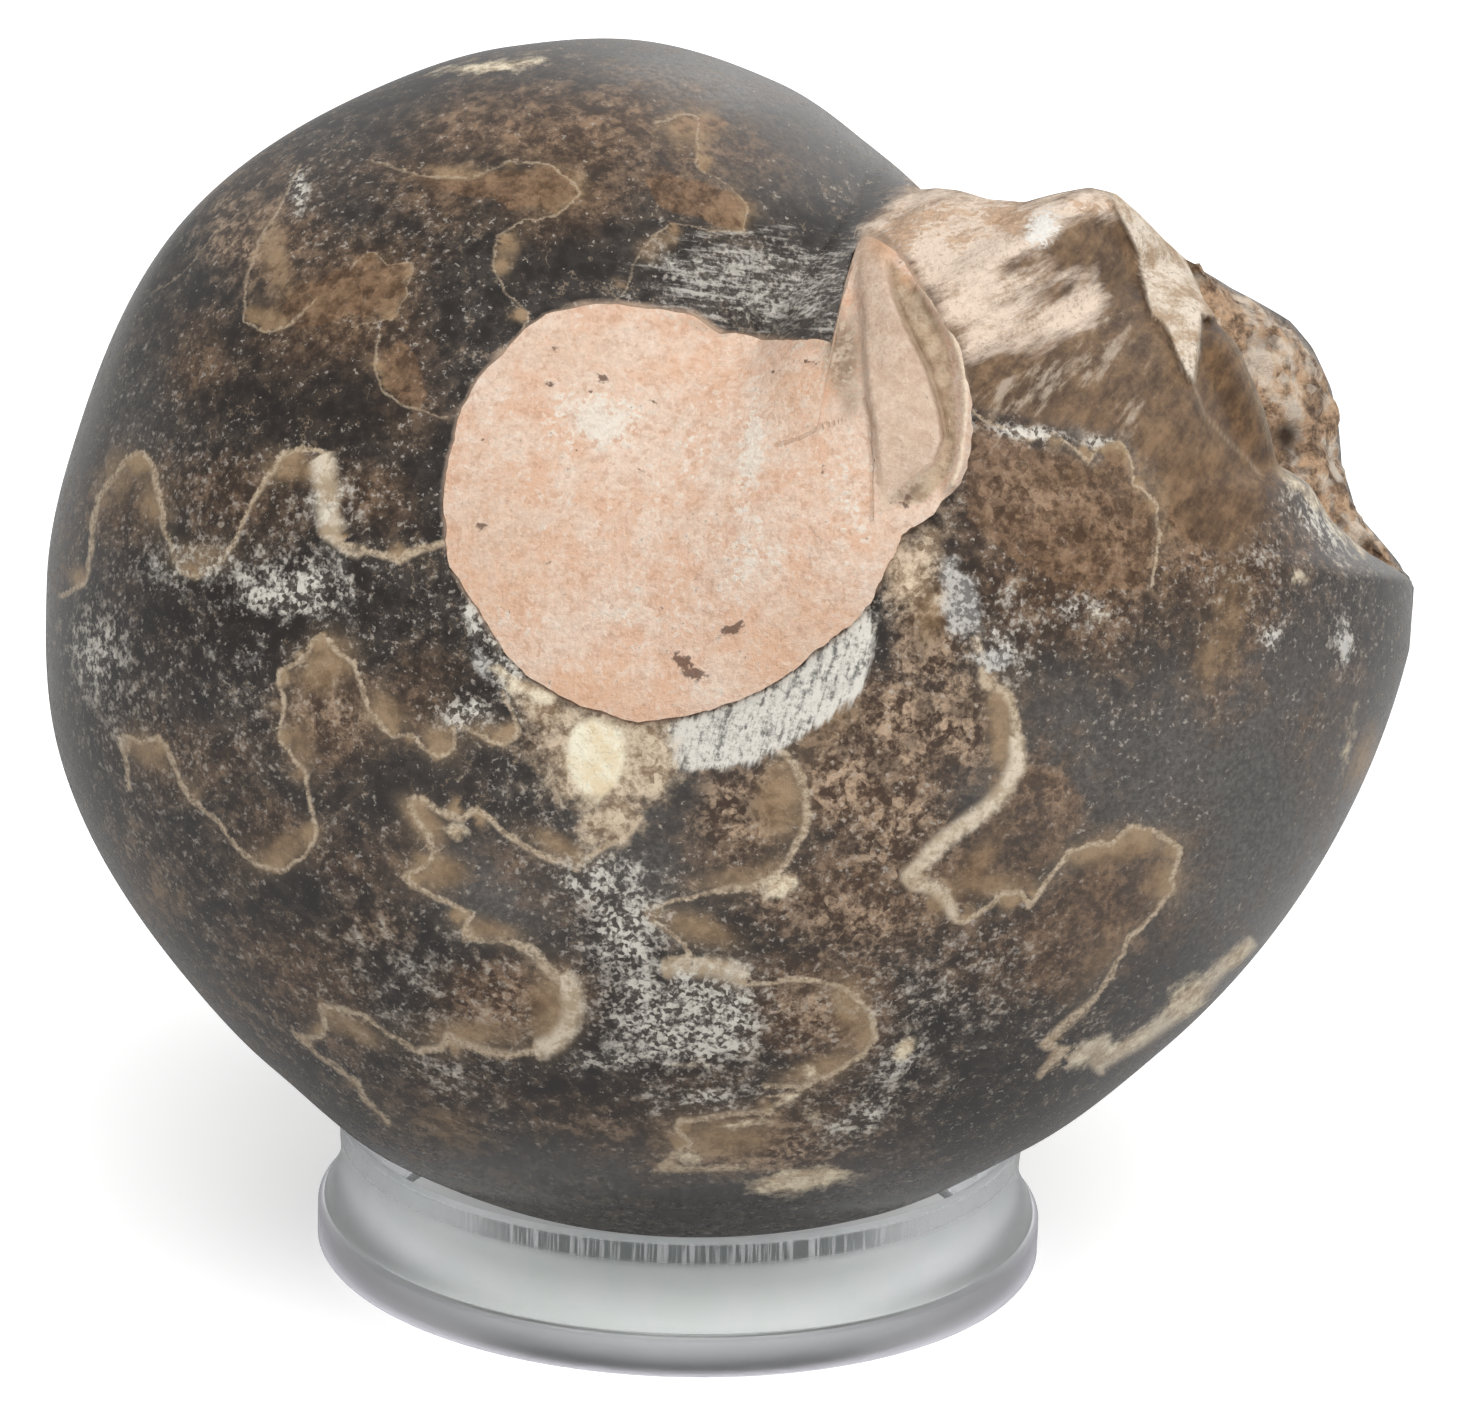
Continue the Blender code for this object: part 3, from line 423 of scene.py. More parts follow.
# Streaked brown face of the broken end.
SEPTUM = [
    (868, 228), (921, 186), (1000, 196), (1090, 184), (1140, 206), (1196, 264), (1225, 318),
    (1243, 352), (1258, 386), (1268, 425), (1279, 466), (1262, 520), (1225, 560), (1190, 520),
    (1160, 470), (1128, 432), (1070, 425), (975, 404), (966, 360), (945, 320), (905, 255),
]
CREASE = [(1196, 388), (1204, 412), (1225, 436), (1250, 460), (1262, 476)]
WHITE_CRYSTAL = [(1044, 226, 10, 14, -30, 1.1)]
ORANGE_CRUST = [
    (1008, 218, 26, 12, -8, 1.0), (905, 228, 22, 16, 40, .8), (940, 214, 30, 10, 10, .5),
    (1090, 206, 24, 8, 0, .5), (960, 240, 26, 10, 10, .4),
]
# Where the fine crystals are few, then the pits of the core, dark with painted shade.
QUIET = [
    (560, 130, 260, 120, 0, 1.0), (300, 300, 140, 140, 0, .5), (1180, 480, 120, 110, 0, .5),
    (1100, 900, 80, 80, 0, .6),
]
PAINTED_PIT_SHADE = [(1287, 436, 15, 17, 0, 1.3), (1262, 340, 10, 8, 0, .5), (1318, 400, 8, 14, 0, .6)]
CORE_LUMPS = 480.0                             # lumps per metre, about
CORE_NOISE = (1.0, 2.1, 3)
CORE_ROUGHNESS = 0.9 * MM
CORE_LEVEL = (0.5, 0.8, 1.4)                    # middle, swing and limit of the roughness
# Pale strip along the step of the broken end, and the pale line on its edge.
PALE_STRIP = [(1275, 464), (1303, 486), (1330, 512), (1364, 548)]
PALE_EDGE = [(1222, 320), (1240, 350), (1255, 385), (1265, 420), (1272, 450), (1277, 465)]
AMBER_REACH = 42.0
AMBER_NEAR = 0.2                                # share of its reach that is fully amber
AMBER_SIDE = (0.0, 0.35)                        # how far to the inner side of a bend
BEND_LEAST, BEND_SPAN = 1.0, 5.0
LINE_STEP = 1.5
BEND_REACH = 34.0
FAR_FROM_LINE = 60.0

# ---- how wide the markings are, and how softly they end outside and inside their outlines -------
FRONT_SIDE = (-1.0, 6.0)                        # mm of height: marks of the front fade in
INSIDE_EDGE = (-3.5, 1.0)
SEPTUM_EDGE = (-22.0, 14.0)
BAND_EDGE = (-7.0, 7.0)
TONGUE_EDGE = (-2.0, 5.0)
CALCITE_EDGE = (-3.0, 3.0)
PALE_STRIP_WIDTH, PALE_STRIP_LEVEL = 13.0, 0.55
PALE_EDGE_WIDTH = 4.5
CREASE_WIDTH = 1.6

# ---- fineness of the skins ------------------------------------------------------------------
FAR_OUT = 80.0 * MM                             # the search for the outline starts out here
HALVINGS = 40
TRIAL_ANGLES = 2401
SKIN_COLUMNS = 640
FLANK_ROWS = 96
CLIFF_ROWS = 4
CORE_ROWS = 12
BACK_ROWS = 36
PLUG_COLUMNS = 330
PLUG_ROWS = 96
RING_STEPS = 160
RING_SHARP = 28.0                               # degrees between faces that stay a crisp edge

# ---- the ring's section: radius, height and rounding in mm ------------------------------------
RING_TOP = [
    (23.95, 9.6, 0.10), (24.3, 9.3, 0.12), (24.3, 9.1, 0.0), (24.3, 8.1, 0.0), (24.3, 7.8, 0.10),
]
COVE_TOP, COVE_FOOT = (24.3, 7.8), (25.55, 2.95)
COVE_HOLLOW = 0.55
COVE_SHARES = (0.08, 0.92, 12)
RING_BASE = [
    (25.36, 3.12, 0.0), (25.22, 3.0, 0.03), (25.5, 2.93, 0.05), (25.8, 2.7, 0.10), (25.8, 0.25, 0.08),
    (25.6, 0.0, 0.06), (21.3, 0.0, 0.12), (21.3, 6.4, 0.20), (23.75, 9.5, 0.10),
]
ROUND_SHARES = (0.0, 0.33, 0.67, 1.0)
ROUND_LIMIT = 0.4                               # share of a side that one rounding may take
RING_OUTSIDE = 24.0                             # mm: what lies further out is the outer side
RING_FOOT = (2.75, 3.1)
RING_LIP = (7.6, 8.0)
RING_RIM = (9.15, 9.35)
RING_SEAT = (6.2, 6.6)
RING_LIP_REFLECTION = (-0.78, -0.42)                   # sideways, as shares of the radius: the lip's front, with its streaks and its painted reflection of the dark stone
RING_SHADE = (24.3 * MM, 25.2 * MM)             # the paper darkens under the ring
RING_SHADE_LEVEL = 0.62
RING_BORE_EDGE = (21.8 * MM, 22.4 * MM)
CONTACT_SHADE = (7.0 * MM, 17.0 * MM)           # and most of all under the middle of its front
CONTACT_LEVEL = 0.04

# ---- the room: brightness seen by the stone ---------------------------------------------------
ROOM_FRONT = 0.30
ROOM_LEFT = 0.30
ROOM_RIGHT = 1.05
ROOM_ABOVE = 0.35
ROOM_BEHIND = (-0.1, 0.75)
ROOM_SIDE = (-0.30, 0.35)
ROOM_HEIGHT = (0.0, 0.6)
KEY_STRENGTH = 2.9
KEY_SPREAD = 70.0
KEY_TURN = (42.0, 0.0, 16.0)
FLOOR_HALF = 4.0
PAPER_TO_EYE = (0.97, 0.97, 0.97)
PAPER_TO_STONE = (0.55, 0.55, 0.55)
PAPER_LIFT = 0.30

# ---- tones: one colour, or the darker and the lighter colour of a mottled finish ---------------
TONE_GROUND = (0.024, 0.020, 0.018), (0.058, 0.049, 0.042)
TONE_SMOOTH = (0.118, 0.111, 0.103), (0.225, 0.213, 0.199)
TONE_RUSTY = (0.074, 0.041, 0.023), (0.32, 0.200, 0.118)
TONE_SPONGY = (0.060, 0.032, 0.018), (0.54, 0.385, 0.260)
TONE_BLACK = (0.018, 0.015, 0.014)
TONE_HOLLOW = (0.040, 0.025, 0.017)
TONE_SALT = (0.36, 0.32, 0.275)
TONE_SPECK = (0.46, 0.42, 0.37)
TONE_AMBER = (0.165, 0.100, 0.050), (0.32, 0.215, 0.120)
TONE_GLOW = (0.40, 0.285, 0.175)
TONE_SEAM = (0.33, 0.245, 0.165)
TONE_TONGUE = (0.070, 0.038, 0.020), (0.27, 0.162, 0.092)
TONE_THIN_LINE = (0.36, 0.27, 0.175), (0.57, 0.46, 0.335)
TONE_BROAD_LINE = (0.44, 0.34, 0.23), (0.72, 0.62, 0.48)
TONE_GRAIN = (0.088, 0.075, 0.063), (0.72, 0.685, 0.61)
TONE_BAND = (0.17, 0.165, 0.15), (0.74, 0.71, 0.64)
TONE_RAYS = (0.070, 0.060, 0.052), (0.50, 0.47, 0.42)
TONE_BLUISH = (0.20, 0.190, 0.178), (0.55, 0.535, 0.50)
TONE_HALO = (0.26, 0.175, 0.105), (0.72, 0.58, 0.42)
TONE_CREAM = (0.46, 0.34, 0.22), (0.82, 0.72, 0.54)
TONE_CALCITE = (0.80, 0.66, 0.44), (0.88, 0.82, 0.64)
TONE_FACE = (0.075, 0.044, 0.026), (0.28, 0.172, 0.092)
TONE_FIBRE = (0.48, 0.40, 0.31)
TONE_CRUST = (0.50, 0.35, 0.24), (0.76, 0.62, 0.50)
TONE_CRUST_ORANGE = (0.36, 0.20, 0.10), (0.66, 0.43, 0.27)
TONE_CRUST_DOT = (0.30, 0.20, 0.13)
TONE_WHITE = (0.80, 0.76, 0.70)
TONE_FLAP = (0.44, 0.315, 0.210), (0.76, 0.66, 0.54)
TONE_FLAP_DOT = (0.24, 0.155, 0.095)
# The flute's olive brown, darker where painted shade fills its hollow.
TONE_FLUTE_SHADED = (0.060, 0.030, 0.012), (0.22, 0.120, 0.050)
TONE_CREASE = (0.42, 0.32, 0.22)
TONE_RUBBLE = (0.105, 0.064, 0.040), (0.50, 0.330, 0.205)
TONE_RUBBLE_PALE = (0.68, 0.60, 0.50)
# Painted shade in the core's pits.
TONE_PIT_SHADE = (0.045, 0.028, 0.018)
TONE_UNDER_ROCK = (0.42, 0.30, 0.215)
TONE_SAND = (0.70, 0.455, 0.32), (0.78, 0.62, 0.50)
TONE_SAND_PALE = (0.80, 0.70, 0.60)
TONE_SAND_DEEP = (0.50, 0.285, 0.185)
TONE_SAND_GRAIN = (0.46, 0.28, 0.19)
TONE_SAND_SPECK = (0.14, 0.10, 0.08)
TONE_PALE_STAIN = (0.78, 0.73, 0.64)
TONE_DARK_STAIN = (0.12, 0.060, 0.040)
TONE_ORANGE_STAIN = (0.68, 0.390, 0.225)
TONE_OLIVE = (0.20, 0.155, 0.105), (0.52, 0.44, 0.34)
TONE_LEAF = (0.54, 0.40, 0.30), (0.68, 0.54, 0.42)
TONE_LIP_BAND = (0.24, 0.180, 0.105), (0.47, 0.37, 0.245)
# Painted shade along the lip's groove.
TONE_GROOVE_SHADE = (0.20, 0.145, 0.090)
TONE_LIP_RIM = (0.80, 0.67, 0.51)
TONE_CRACK = (0.36, 0.23, 0.15)
TONE_ACRYLIC = (0.88, 0.93, 0.905), (0.965, 0.985, 0.97)
# The foot's violet grey is painted shade in the clear acrylic.
TONE_ACRYLIC_FOOT_SHADE = (0.68, 0.67, 0.71)
# The lip's front: the darker tone is a painted reflection of the dark stone, the lighter one leaves its
# streaks clear.
TONE_LIP_REFLECTION_STREAK = (0.12, 0.14, 0.13), (1.0, 1.0, 1.0)

# ---- what the stone keeps on its points: the name of each set of measures and what it holds ------
STONE_MEASURES = {
    "suture": ("signed", "width", "away"), "tint": ("amber", "brown", "black"),
    "cover": ("cream", "grain", "smooth"), "broken": ("crust", "septum", "core"),
    "edges": ("flap", "flute", "inside"), "lines": ("crease", "calcite", "halo"),
    "zones": ("band", "bluish", "spongy"), "streaks": ("tongue", "rays", "fibres"),
    # pit: painted shade in the core's pits; white and orange are spots of the stone.
    "worn": ("pit", "white", "orange"), "quiet": ("quiet",),
}
ROCK_MEASURES = {
    # groove: painted shade along the lip's groove.
    "lip": ("leaf", "groove", "band"), "stains": ("pale", "dark", "orange"),
    "cracks": ("slanting", "upright", "short"), "edges": ("olive", "crest"),
}


# ============================================================ the form that the model also has

def whorl_angle(u, v):
    """Degrees along the whorl, counted on from where it starts."""
    turn = np.degrees(np.arctan2(v, u))
    return WHORL_START + (turn - WHORL_START) % 360.0


def eased(value, table):
    """Value looked up in a table of (position, level), easing in and out of every entry."""
    at, level = np.array(table, float).T
    step = np.clip(np.searchsorted(at, value) - 1, 0, len(at) - 2)
    share = np.clip((value - at[step]) / (at[step + 1] - at[step]), 0.0, 1.0)
    return level[step] + (level[step + 1] - level[step]) * share * share * (3.0 - 2.0 * share)


def spiral_radius(turn):
    """Radius of the whole whorl's outline at an angle along it."""
    return RADIUS_AT_ZERO * np.exp(SPIRAL_GROWTH * np.radians(turn)) + eased(turn, SPIRAL_UNEVEN) * MM


def from_grid(x, y, height_mm):
    """Coil-frame u and v of grid points at a height above the coil's plane."""
    scale = GRID_UNIT * (VIEW_DISTANCE - np.asarray(height_mm) * MM) / VIEW_DISTANCE
    return ((np.asarray(x, float) - GRID_CENTRE[0]) * scale,
            (GRID_CENTRE[1] - np.asarray(y, float)) * scale)


def to_grid(points):
    """Grid x and y of coil-frame points. The rear flank mirrors the front one."""
    scale = GRID_UNIT * (VIEW_DISTANCE - np.abs(points[:, 2])) / VIEW_DISTANCE
    return GRID_CENTRE[0] + points[:, 0] / scale, GRID_CENTRE[1] - points[:, 1] / scale


def whorl_curve(points, start, end):
    """A table of grid points as angle, radius and height along the whorl."""
    x, y, height = np.array(points, float).T
    u, v = from_grid(x, y, height)
    turn = whorl_angle(u, v)
    order = np.argsort(turn)
    radius = np.hypot(u, v)
    turn = np.concatenate(([start], turn[order], [end]))
    radius = np.concatenate(([spiral_radius(start)], radius[order], [spiral_radius(end - 360.0)]))
    return turn, radius, np.concatenate(([0.0], height[order] * MM, [0.0]))


OUTLINE = whorl_curve(BROKEN_OUTLINE, WHORL_END, WHORL_START + 360.0)
CREST = whorl_curve(FRONT_CREST, WHORL_END, WHORL_START + 360.0)
MATRIX_U, MATRIX_V = from_grid(*MATRIX_CENTRE)


def outline_radius(turn):
    """Radius of the silhouette, the broken end included."""
    return np.where(turn < WHORL_END, spiral_radius(turn), np.interp(turn, OUTLINE[0], OUTLINE[1]))


def outline_height(turn):
    """Height of the silhouette above the coil's plane."""
    return np.interp(turn, OUTLINE[0], OUTLINE[2])


def crest(turn):
    """Radius and height of the edge where the front surface ends."""
    turns, radii, heights = CREST
    last = turns[-2]
    radius = np.where((turn > WHORL_END) & (turn < last),
                      np.interp(turn, turns[:-1], radii[:-1]), outline_radius(turn))
    height = np.where(turn < last, np.interp(turn, turns, heights), outline_height(turn))
    return np.minimum(radius, outline_radius(turn)), height


def flank_thickness(turn, radius):
    """Half thickness of the whorl, easing to one level over the middle."""
    turns, thickness, _ = np.array(BROKEN_SECTION).T
    whole = np.interp(turn, [WHORL_START, WHORL_END], [HALF_THICKNESS_START, HALF_THICKNESS_END])
    half = np.where(turn < WHORL_END, whole, np.interp(turn, turns, thickness * MM))
    middle = 0.5 * (HALF_THICKNESS_START + HALF_THICKNESS_END)
    share = np.clip(radius / MIDDLE_REACH, 0.0, 1.0)
    return middle + (half - middle) * share * share * (3.0 - 2.0 * share)


def dome(u, v):
    """Height of the front flank."""
    turns, _, power = np.array(BROKEN_SECTION).T
    turn, radius = whorl_angle(u, v), np.hypot(u, v)
    edge, edge_height = crest(turn)
    square = np.interp(turn, turns, power)
    fall = np.sqrt(np.clip(1.0 - (radius / edge) ** square, 0.0, 1.0))
    return edge_height + (flank_thickness(turn, radius) - edge_height) * fall


def back(u, v):
    """Height of the rear flank, with its shallow dish."""
    turn, radius = whorl_angle(u, v), np.hypot(u, v)
    outer = outline_radius(turn)
    older = spiral_radius(turn - 360.0)
    share = np.clip((turn - BACK_BREAK[0]) / (BACK_BREAK[1] - BACK_BREAK[0]), 0.0, 1.0)
    whorl = np.minimum(outer + (older - outer) * share, outer)
    fullness = eased(turn, [(at, level) for at, level, _ in REAR_SECTION])
    power = eased(turn, [(at, level) for at, _, level in REAR_SECTION])
    section = np.sqrt(np.clip(1.0 - (radius / whorl) ** power, 0.0, 1.0))
    flank = fullness * flank_thickness(turn, radius) * section
    shoulder = BACK_SHOULDER * whorl
    lift = np.clip((radius - shoulder) / (outer - shoulder), 0.0, 1.0) ** 2
    dish = REAR_DISH_DEPTH * np.exp(-(radius / REAR_DISH_RADIUS) ** 4)
    return outline_height(turn) * lift - flank + dish


# ============================================================ lines and patches on the grid

def line_distance(x, y, line):
    """Distance to a line of grid points, and the same with a sign for its side."""
    nearest = np.full(np.shape(x), 1e6)
    signed = nearest.copy()
    points = np.array(line, float)
    for (ax, ay), (bx, by) in zip(points[:-1], points[1:]):
        dx, dy = bx - ax, by - ay
        along = np.clip(((x - ax) * dx + (y - ay) * dy) / (dx * dx + dy * dy), 0.0, 1.0)
        ex, ey = x - ax - along * dx, y - ay - along * dy
        away = np.hypot(ex, ey)
        closer = away < nearest
        nearest = np.where(closer, away, nearest)
        signed = np.where(closer, np.where(dx * ey - dy * ex < 0.0, -away, away), signed)
    return nearest, signed


def patch_distance(x, y, ring):
    """Distance to the edge of a closed patch of the grid, negative inside it."""
    nearest, _ = line_distance(x, y, list(ring) + [ring[0]])
    inside = np.zeros(np.shape(x), bool)
    points = np.array(list(ring) + [ring[0]], float)
    for (ax, ay), (bx, by) in zip(points[:-1], points[1:]):
        crosses = (ay > y) != (by > y)
        inside ^= crosses & (x < (bx - ax) * (y - ay) / (by - ay + 1e-9) + ax)
    return np.where(inside, -nearest, nearest)


def near_line(x, y, line, width):
    """1 on a line of the grid, fading to 0 over a width in grid units."""
    return np.exp(-(line_distance(x, y, line)[0] / width) ** 2)


def soft_step(value, low, high):
    """Eases from 0 to 1 as the value goes from low to high."""
    share = np.clip((value - low) / (high - low), 0.0, 1.0)
    return share * share * (3.0 - 2.0 * share)


def within(x, y, ring, edge):
    """1 inside a closed patch of the grid and 0 outside it, eased over its edge."""
    return soft_step(-patch_distance(x, y, ring), *edge)


# ============================================================ the skins

def about_matrix(angles, distance):
    """Coil-frame u and v of points at an angle and a distance about the matrix centre."""
    return MATRIX_U + distance * np.cos(angles), MATRIX_V + distance * np.sin(angles)


def from_matrix(u, v):
    """Angle and distance of points about the matrix centre."""
    du, dv = u - MATRIX_U, v - MATRIX_V
    return np.arctan2(dv, du) % (2.0 * math.pi), np.hypot(du, dv)


def reach_along(angles, limit):
    """Distance from the matrix centre to a limit of the radius, for each angle."""
    near, far = np.zeros(len(angles)), np.full(len(angles), FAR_OUT)
    for _ in range(HALVINGS):
        half = 0.5 * (near + far)
        u, v = about_matrix(angles, half)
        outside = np.hypot(u, v) > limit(whorl_angle(u, v))
        far = np.where(outside, half, far)
        near = np.where(outside, near, half)
    return 0.5 * (near + far)


def even_angles(count):
    """Angles about the matrix centre that share the outline out evenly."""
    trial = np.linspace(0.0, 2.0 * math.pi, TRIAL_ANGLES)
    reach = reach_along(trial, outline_radius)
    u, v = reach * np.cos(trial), reach * np.sin(trial)
    arc = np.concatenate(([0.0], np.cumsum(np.hypot(np.diff(u), np.diff(v)))))
    return np.interp(np.linspace(0.0, arc[-1], count, endpoint=False), arc, trial)


def matrix_radius(angles):
    """Radius of the matrix about its centre, with its uneven rim."""
    around, away = from_matrix(*from_grid(*np.array(MATRIX_OUTLINE, float).T, MATRIX_HEIGHT))
    order = np.argsort(around)
    rim = np.interp(angles, around[order], away[order], period=2.0 * math.pi)
    places = np.column_stack((rim * np.cos(angles), rim * np.sin(angles), 0.0 * rim)) * RIM_LUMPS
    return rim + RIM_UNEVEN * np.array([noise.fractal(Vector(p), *RIM_NOISE) for p in places])


def front(u, v):
    """Height of the finished front surface."""
    turn, radius = whorl_angle(u, v), np.hypot(u, v)
    edge, _ = crest(turn)
    cu, cv = from_grid(*FLAKED_CENTRE)
    lost = FLAKED_DEPTH * np.exp(-(np.hypot(u - cu, v - cv) / FLAKED_REACH) ** 4)
    height = dome(u, v)
    x, y = to_grid(np.column_stack((u, v, height)))
    height = height - lost * np.clip((edge - radius) / FLAKED_EDGE, 0.0, 1.0)
    flap = within(x, y, FLAP, FLAP_EDGE)
    height = height - FLUTE_DEPTH * near_line(x, y, FLUTE, FLUTE_WIDTH) * (1.0 - flap)
    return height + FLAP_RISE * flap + CRUST_RISE * within(x, y, CRUST, CRUST_STEP_EDGE)


def core(u, v):
    """The rough core outside the crest."""
    turn, radius = whorl_angle(u, v), np.hypot(u, v)
    edge, edge_height = crest(turn)
    outer = outline_radius(turn)
    across = np.clip((radius - edge) / np.maximum(outer - edge, CORE_THINNEST), 0.0, 1.0)
    foot = np.minimum(CORE_HEIGHT, CORE_UNDER_CREST * edge_height)
    rise = np.sqrt(np.clip(1.0 - across ** 2, 0.0, 1.0))
    return outline_height(turn) + (foot - outline_height(turn)) * rise


def skin_ring(angles, distance, height):
    """One ring of a skin about the matrix centre, at a distance for each angle."""
    u, v = about_matrix(angles, distance)
    return np.column_stack((u, v, height(u, v)))


def pole(height, depth=0.0):
    """The point where a skin closes, over the matrix centre and at a depth below a surface."""
    return MATRIX_U, MATRIX_V, height(np.array([MATRIX_U]), np.array([MATRIX_V]))[0] - depth


def placed(name, data):
    """A new object that holds the data, in the scene."""
    made = bpy.data.objects.new(name, data)
    bpy.context.scene.collection.objects.link(made)
    return made


def loft(name, rings, poles):
    """A closed skin through rings of equal length, front to back, with a pole at each end."""
    count, rows = len(rings[0]), len(rings)
    points = np.vstack([poles[0]] + rings + [poles[1]])
    k = np.arange(count)
    n = (k + 1) % count
    quads = [np.column_stack((1 + r * count + k, 1 + (r + 1) * count + k,
                              1 + (r + 1) * count + n, 1 + r * count + n)) for r in range(rows - 1)]
    base = 1 + (rows - 1) * count
    caps = np.vstack((np.column_stack((0 * k, 1 + k, 1 + n)),
                      np.column_stack((base + n, base + k, 0 * k + len(points) - 1))))
    mesh = bpy.data.meshes.new(name)
    mesh.from_pydata(points.tolist(), [], np.vstack(quads).tolist() + caps.tolist())
    mesh.shade_smooth()
    return placed(name, mesh), points


def keep(mesh, name, *levels):
    """Keeps one to three measures of the points on the mesh, as a vector."""
    values = np.zeros((len(mesh.vertices), 3), np.float32)
    for column, level in enumerate(levels):
        values[:, column] = level
    mesh.attributes.new(name, "FLOAT_VECTOR", "POINT").data.foreach_set("vector", values.ravel())


def make_ammonite():
    """The stone's skin: its bed under the rock, front, cliff, rough core and back."""
    angles = even_angles(SKIN_COLUMNS)
    rim = matrix_radius(angles)
    edge = reach_along(angles, lambda turn: crest(turn)[0])
    outer = reach_along(angles, outline_radius)
    edge = np.minimum(edge, rim + (outer - rim) * CREST_LIMIT)
    bed = skin_ring(angles, rim, front)
    rings = []
    for share, depth in STONE_BED:
        ring = skin_ring(angles, rim * share, dome)
        ring[:, 2] -= depth * PLUG_DEPTH
        rings.append(ring)
    rings.append(bed)
    for row in range(1, FLANK_ROWS + 1):
        share = math.sin(0.5 * math.pi * row / FLANK_ROWS)
        rings.append(skin_ring(angles, rim + (edge - rim) * share, front))
    foot = edge + np.minimum(CLIFF_REACH[0], CLIFF_REACH[1] * (outer - edge))
    top, bottom = rings[-1], skin_ring(angles, foot, core)
    for row in range(1, CLIFF_ROWS):
        rings.append(top + (bottom - top) * np.array((row, row, row * row / CLIFF_ROWS)) / CLIFF_ROWS)
    for row in range(CORE_ROWS):
        share = math.sin(0.5 * math.pi * row / CORE_ROWS)
        rings.append(skin_ring(angles, foot + (outer - foot) * share, core))
    rings.append(skin_ring(angles, outer, lambda u, v: outline_height(whorl_angle(u, v))))
    for row in range(1, BACK_ROWS):
        rings.append(skin_ring(angles, outer * math.cos(0.5 * math.pi * row / BACK_ROWS), back))
    poles = pole(dome, BED_MIDDLE * PLUG_DEPTH), pole(back)
    below_crest = BACK_ROWS - 1 + CORE_ROWS + 1 + CLIFF_ROWS - 1
    first = 1 + len(rings) * SKIN_COLUMNS - below_crest * SKIN_COLUMNS
    core_rows = np.arange(first, first + (CLIFF_ROWS + CORE_ROWS) * SKIN_COLUMNS)
    broken = np.tile(outer - edge > CORE_LEAST, CLIFF_ROWS + CORE_ROWS)
    core_rows = core_rows[broken]
    skin, points = loft("ammonite_stone", rings, poles)
    roughen(skin.data, points, core_rows)
    mark_ammonite(skin.data, points, core_rows)
    return skin


def roughen(mesh, points, rows):
    """Breaks up the core's surface, along its own normals."""
    normals = np.zeros(3 * len(points), np.float32)
    mesh.vertex_normals.foreach_get("vector", normals)
    normals = normals.reshape(-1, 3)
    lumps = np.array([noise.fractal(Vector(p) * CORE_LUMPS, *CORE_NOISE) for p in points[rows]])
    middle, swing, limit = CORE_LEVEL
    depth = CORE_ROUGHNESS * np.clip(middle + swing * lumps, 0.0, limit)
    points[rows] -= normals[rows] * depth[:, None]
    mesh.vertices.foreach_set("co", points.astype(np.float32).ravel())
    mesh.update()


def patches(x, y, table):
    """The strongest of a table of soft patches at each point."""
    best = np.zeros(np.shape(x))
    for px, py, length, breadth, turn, strength in table:
        c, s = math.cos(math.radians(turn)), math.sin(math.radians(turn))
        along = ((x - px) * c - (y - py) * s) / length
        across = ((x - px) * s + (y - py) * c) / breadth
        best = np.maximum(best, strength * np.exp(-(along ** 2 + across ** 2)))
    return best


def stepped(line, step):
    """Points at even steps along a line of grid points."""
    points = np.array(line, float)
    arc = np.concatenate(([0.0], np.cumsum(np.hypot(*np.diff(points, axis=0).T))))
    at = np.linspace(0.0, arc[-1], max(2, int(arc[-1] / step)))
    return np.column_stack((np.interp(at, arc, points[:, 0]), np.interp(at, arc, points[:, 1])))


def suture_points():
    """Every suture as points with its half width, its heading and the way that it bends."""
    found = []
    for width, line in SUTURES:
        points = stepped(line, LINE_STEP)
        heading = np.gradient(points, axis=0)
        heading /= np.hypot(*heading.T)[:, None]
        reach = int(BEND_REACH / LINE_STEP)
        if len(points) > reach:
            padded = np.pad(points, ((reach, reach), (0, 0)), mode="reflect", reflect_type="odd")
        else:
            padded = np.repeat(points.mean(0)[None], len(points) + 2 * reach, 0)
        window = np.ones(2 * reach + 1) / (2 * reach + 1)
        calm = np.column_stack([np.convolve(padded[:, k], window, "valid") for k in (0, 1)])
        found.append(np.column_stack((points, np.full(len(points), width), heading, calm - points)))
    return np.vstack(found)


def mark_sutures(x, y):
    """Signed distance to the nearest suture, its half width, plain distance, and amber beside it."""
    samples = suture_points()
    tree = KDTree(len(samples))
    for k, (sx, sy) in enumerate(samples[:, :2]):
        tree.insert((sx, sy, 0.0), k)
    tree.balance()
    nearest = np.array([tree.find((px, py, 0.0))[1] for px, py in zip(x, y)])
    near = samples[nearest]
    ox, oy = x - near[:, 0], y - near[:, 1]
    away = np.hypot(ox, oy)
    signed = near[:, 3] * oy - near[:, 4] * ox
    bend = np.hypot(near[:, 5], near[:, 6])
    inward = (ox * near[:, 5] + oy * near[:, 6]) / np.maximum(away * np.maximum(bend, 1.0), 1e-6)
    bent = np.clip((bend - BEND_LEAST) / BEND_SPAN, 0.0, 1.0)
    close = soft_step(-away, -AMBER_REACH, -AMBER_NEAR * AMBER_REACH)
    amber = soft_step(inward, *AMBER_SIDE) * bent * close
    clip = np.minimum(away, FAR_FROM_LINE)
    return np.clip(signed, -FAR_FROM_LINE, FAR_FROM_LINE), near[:, 2], clip, amber


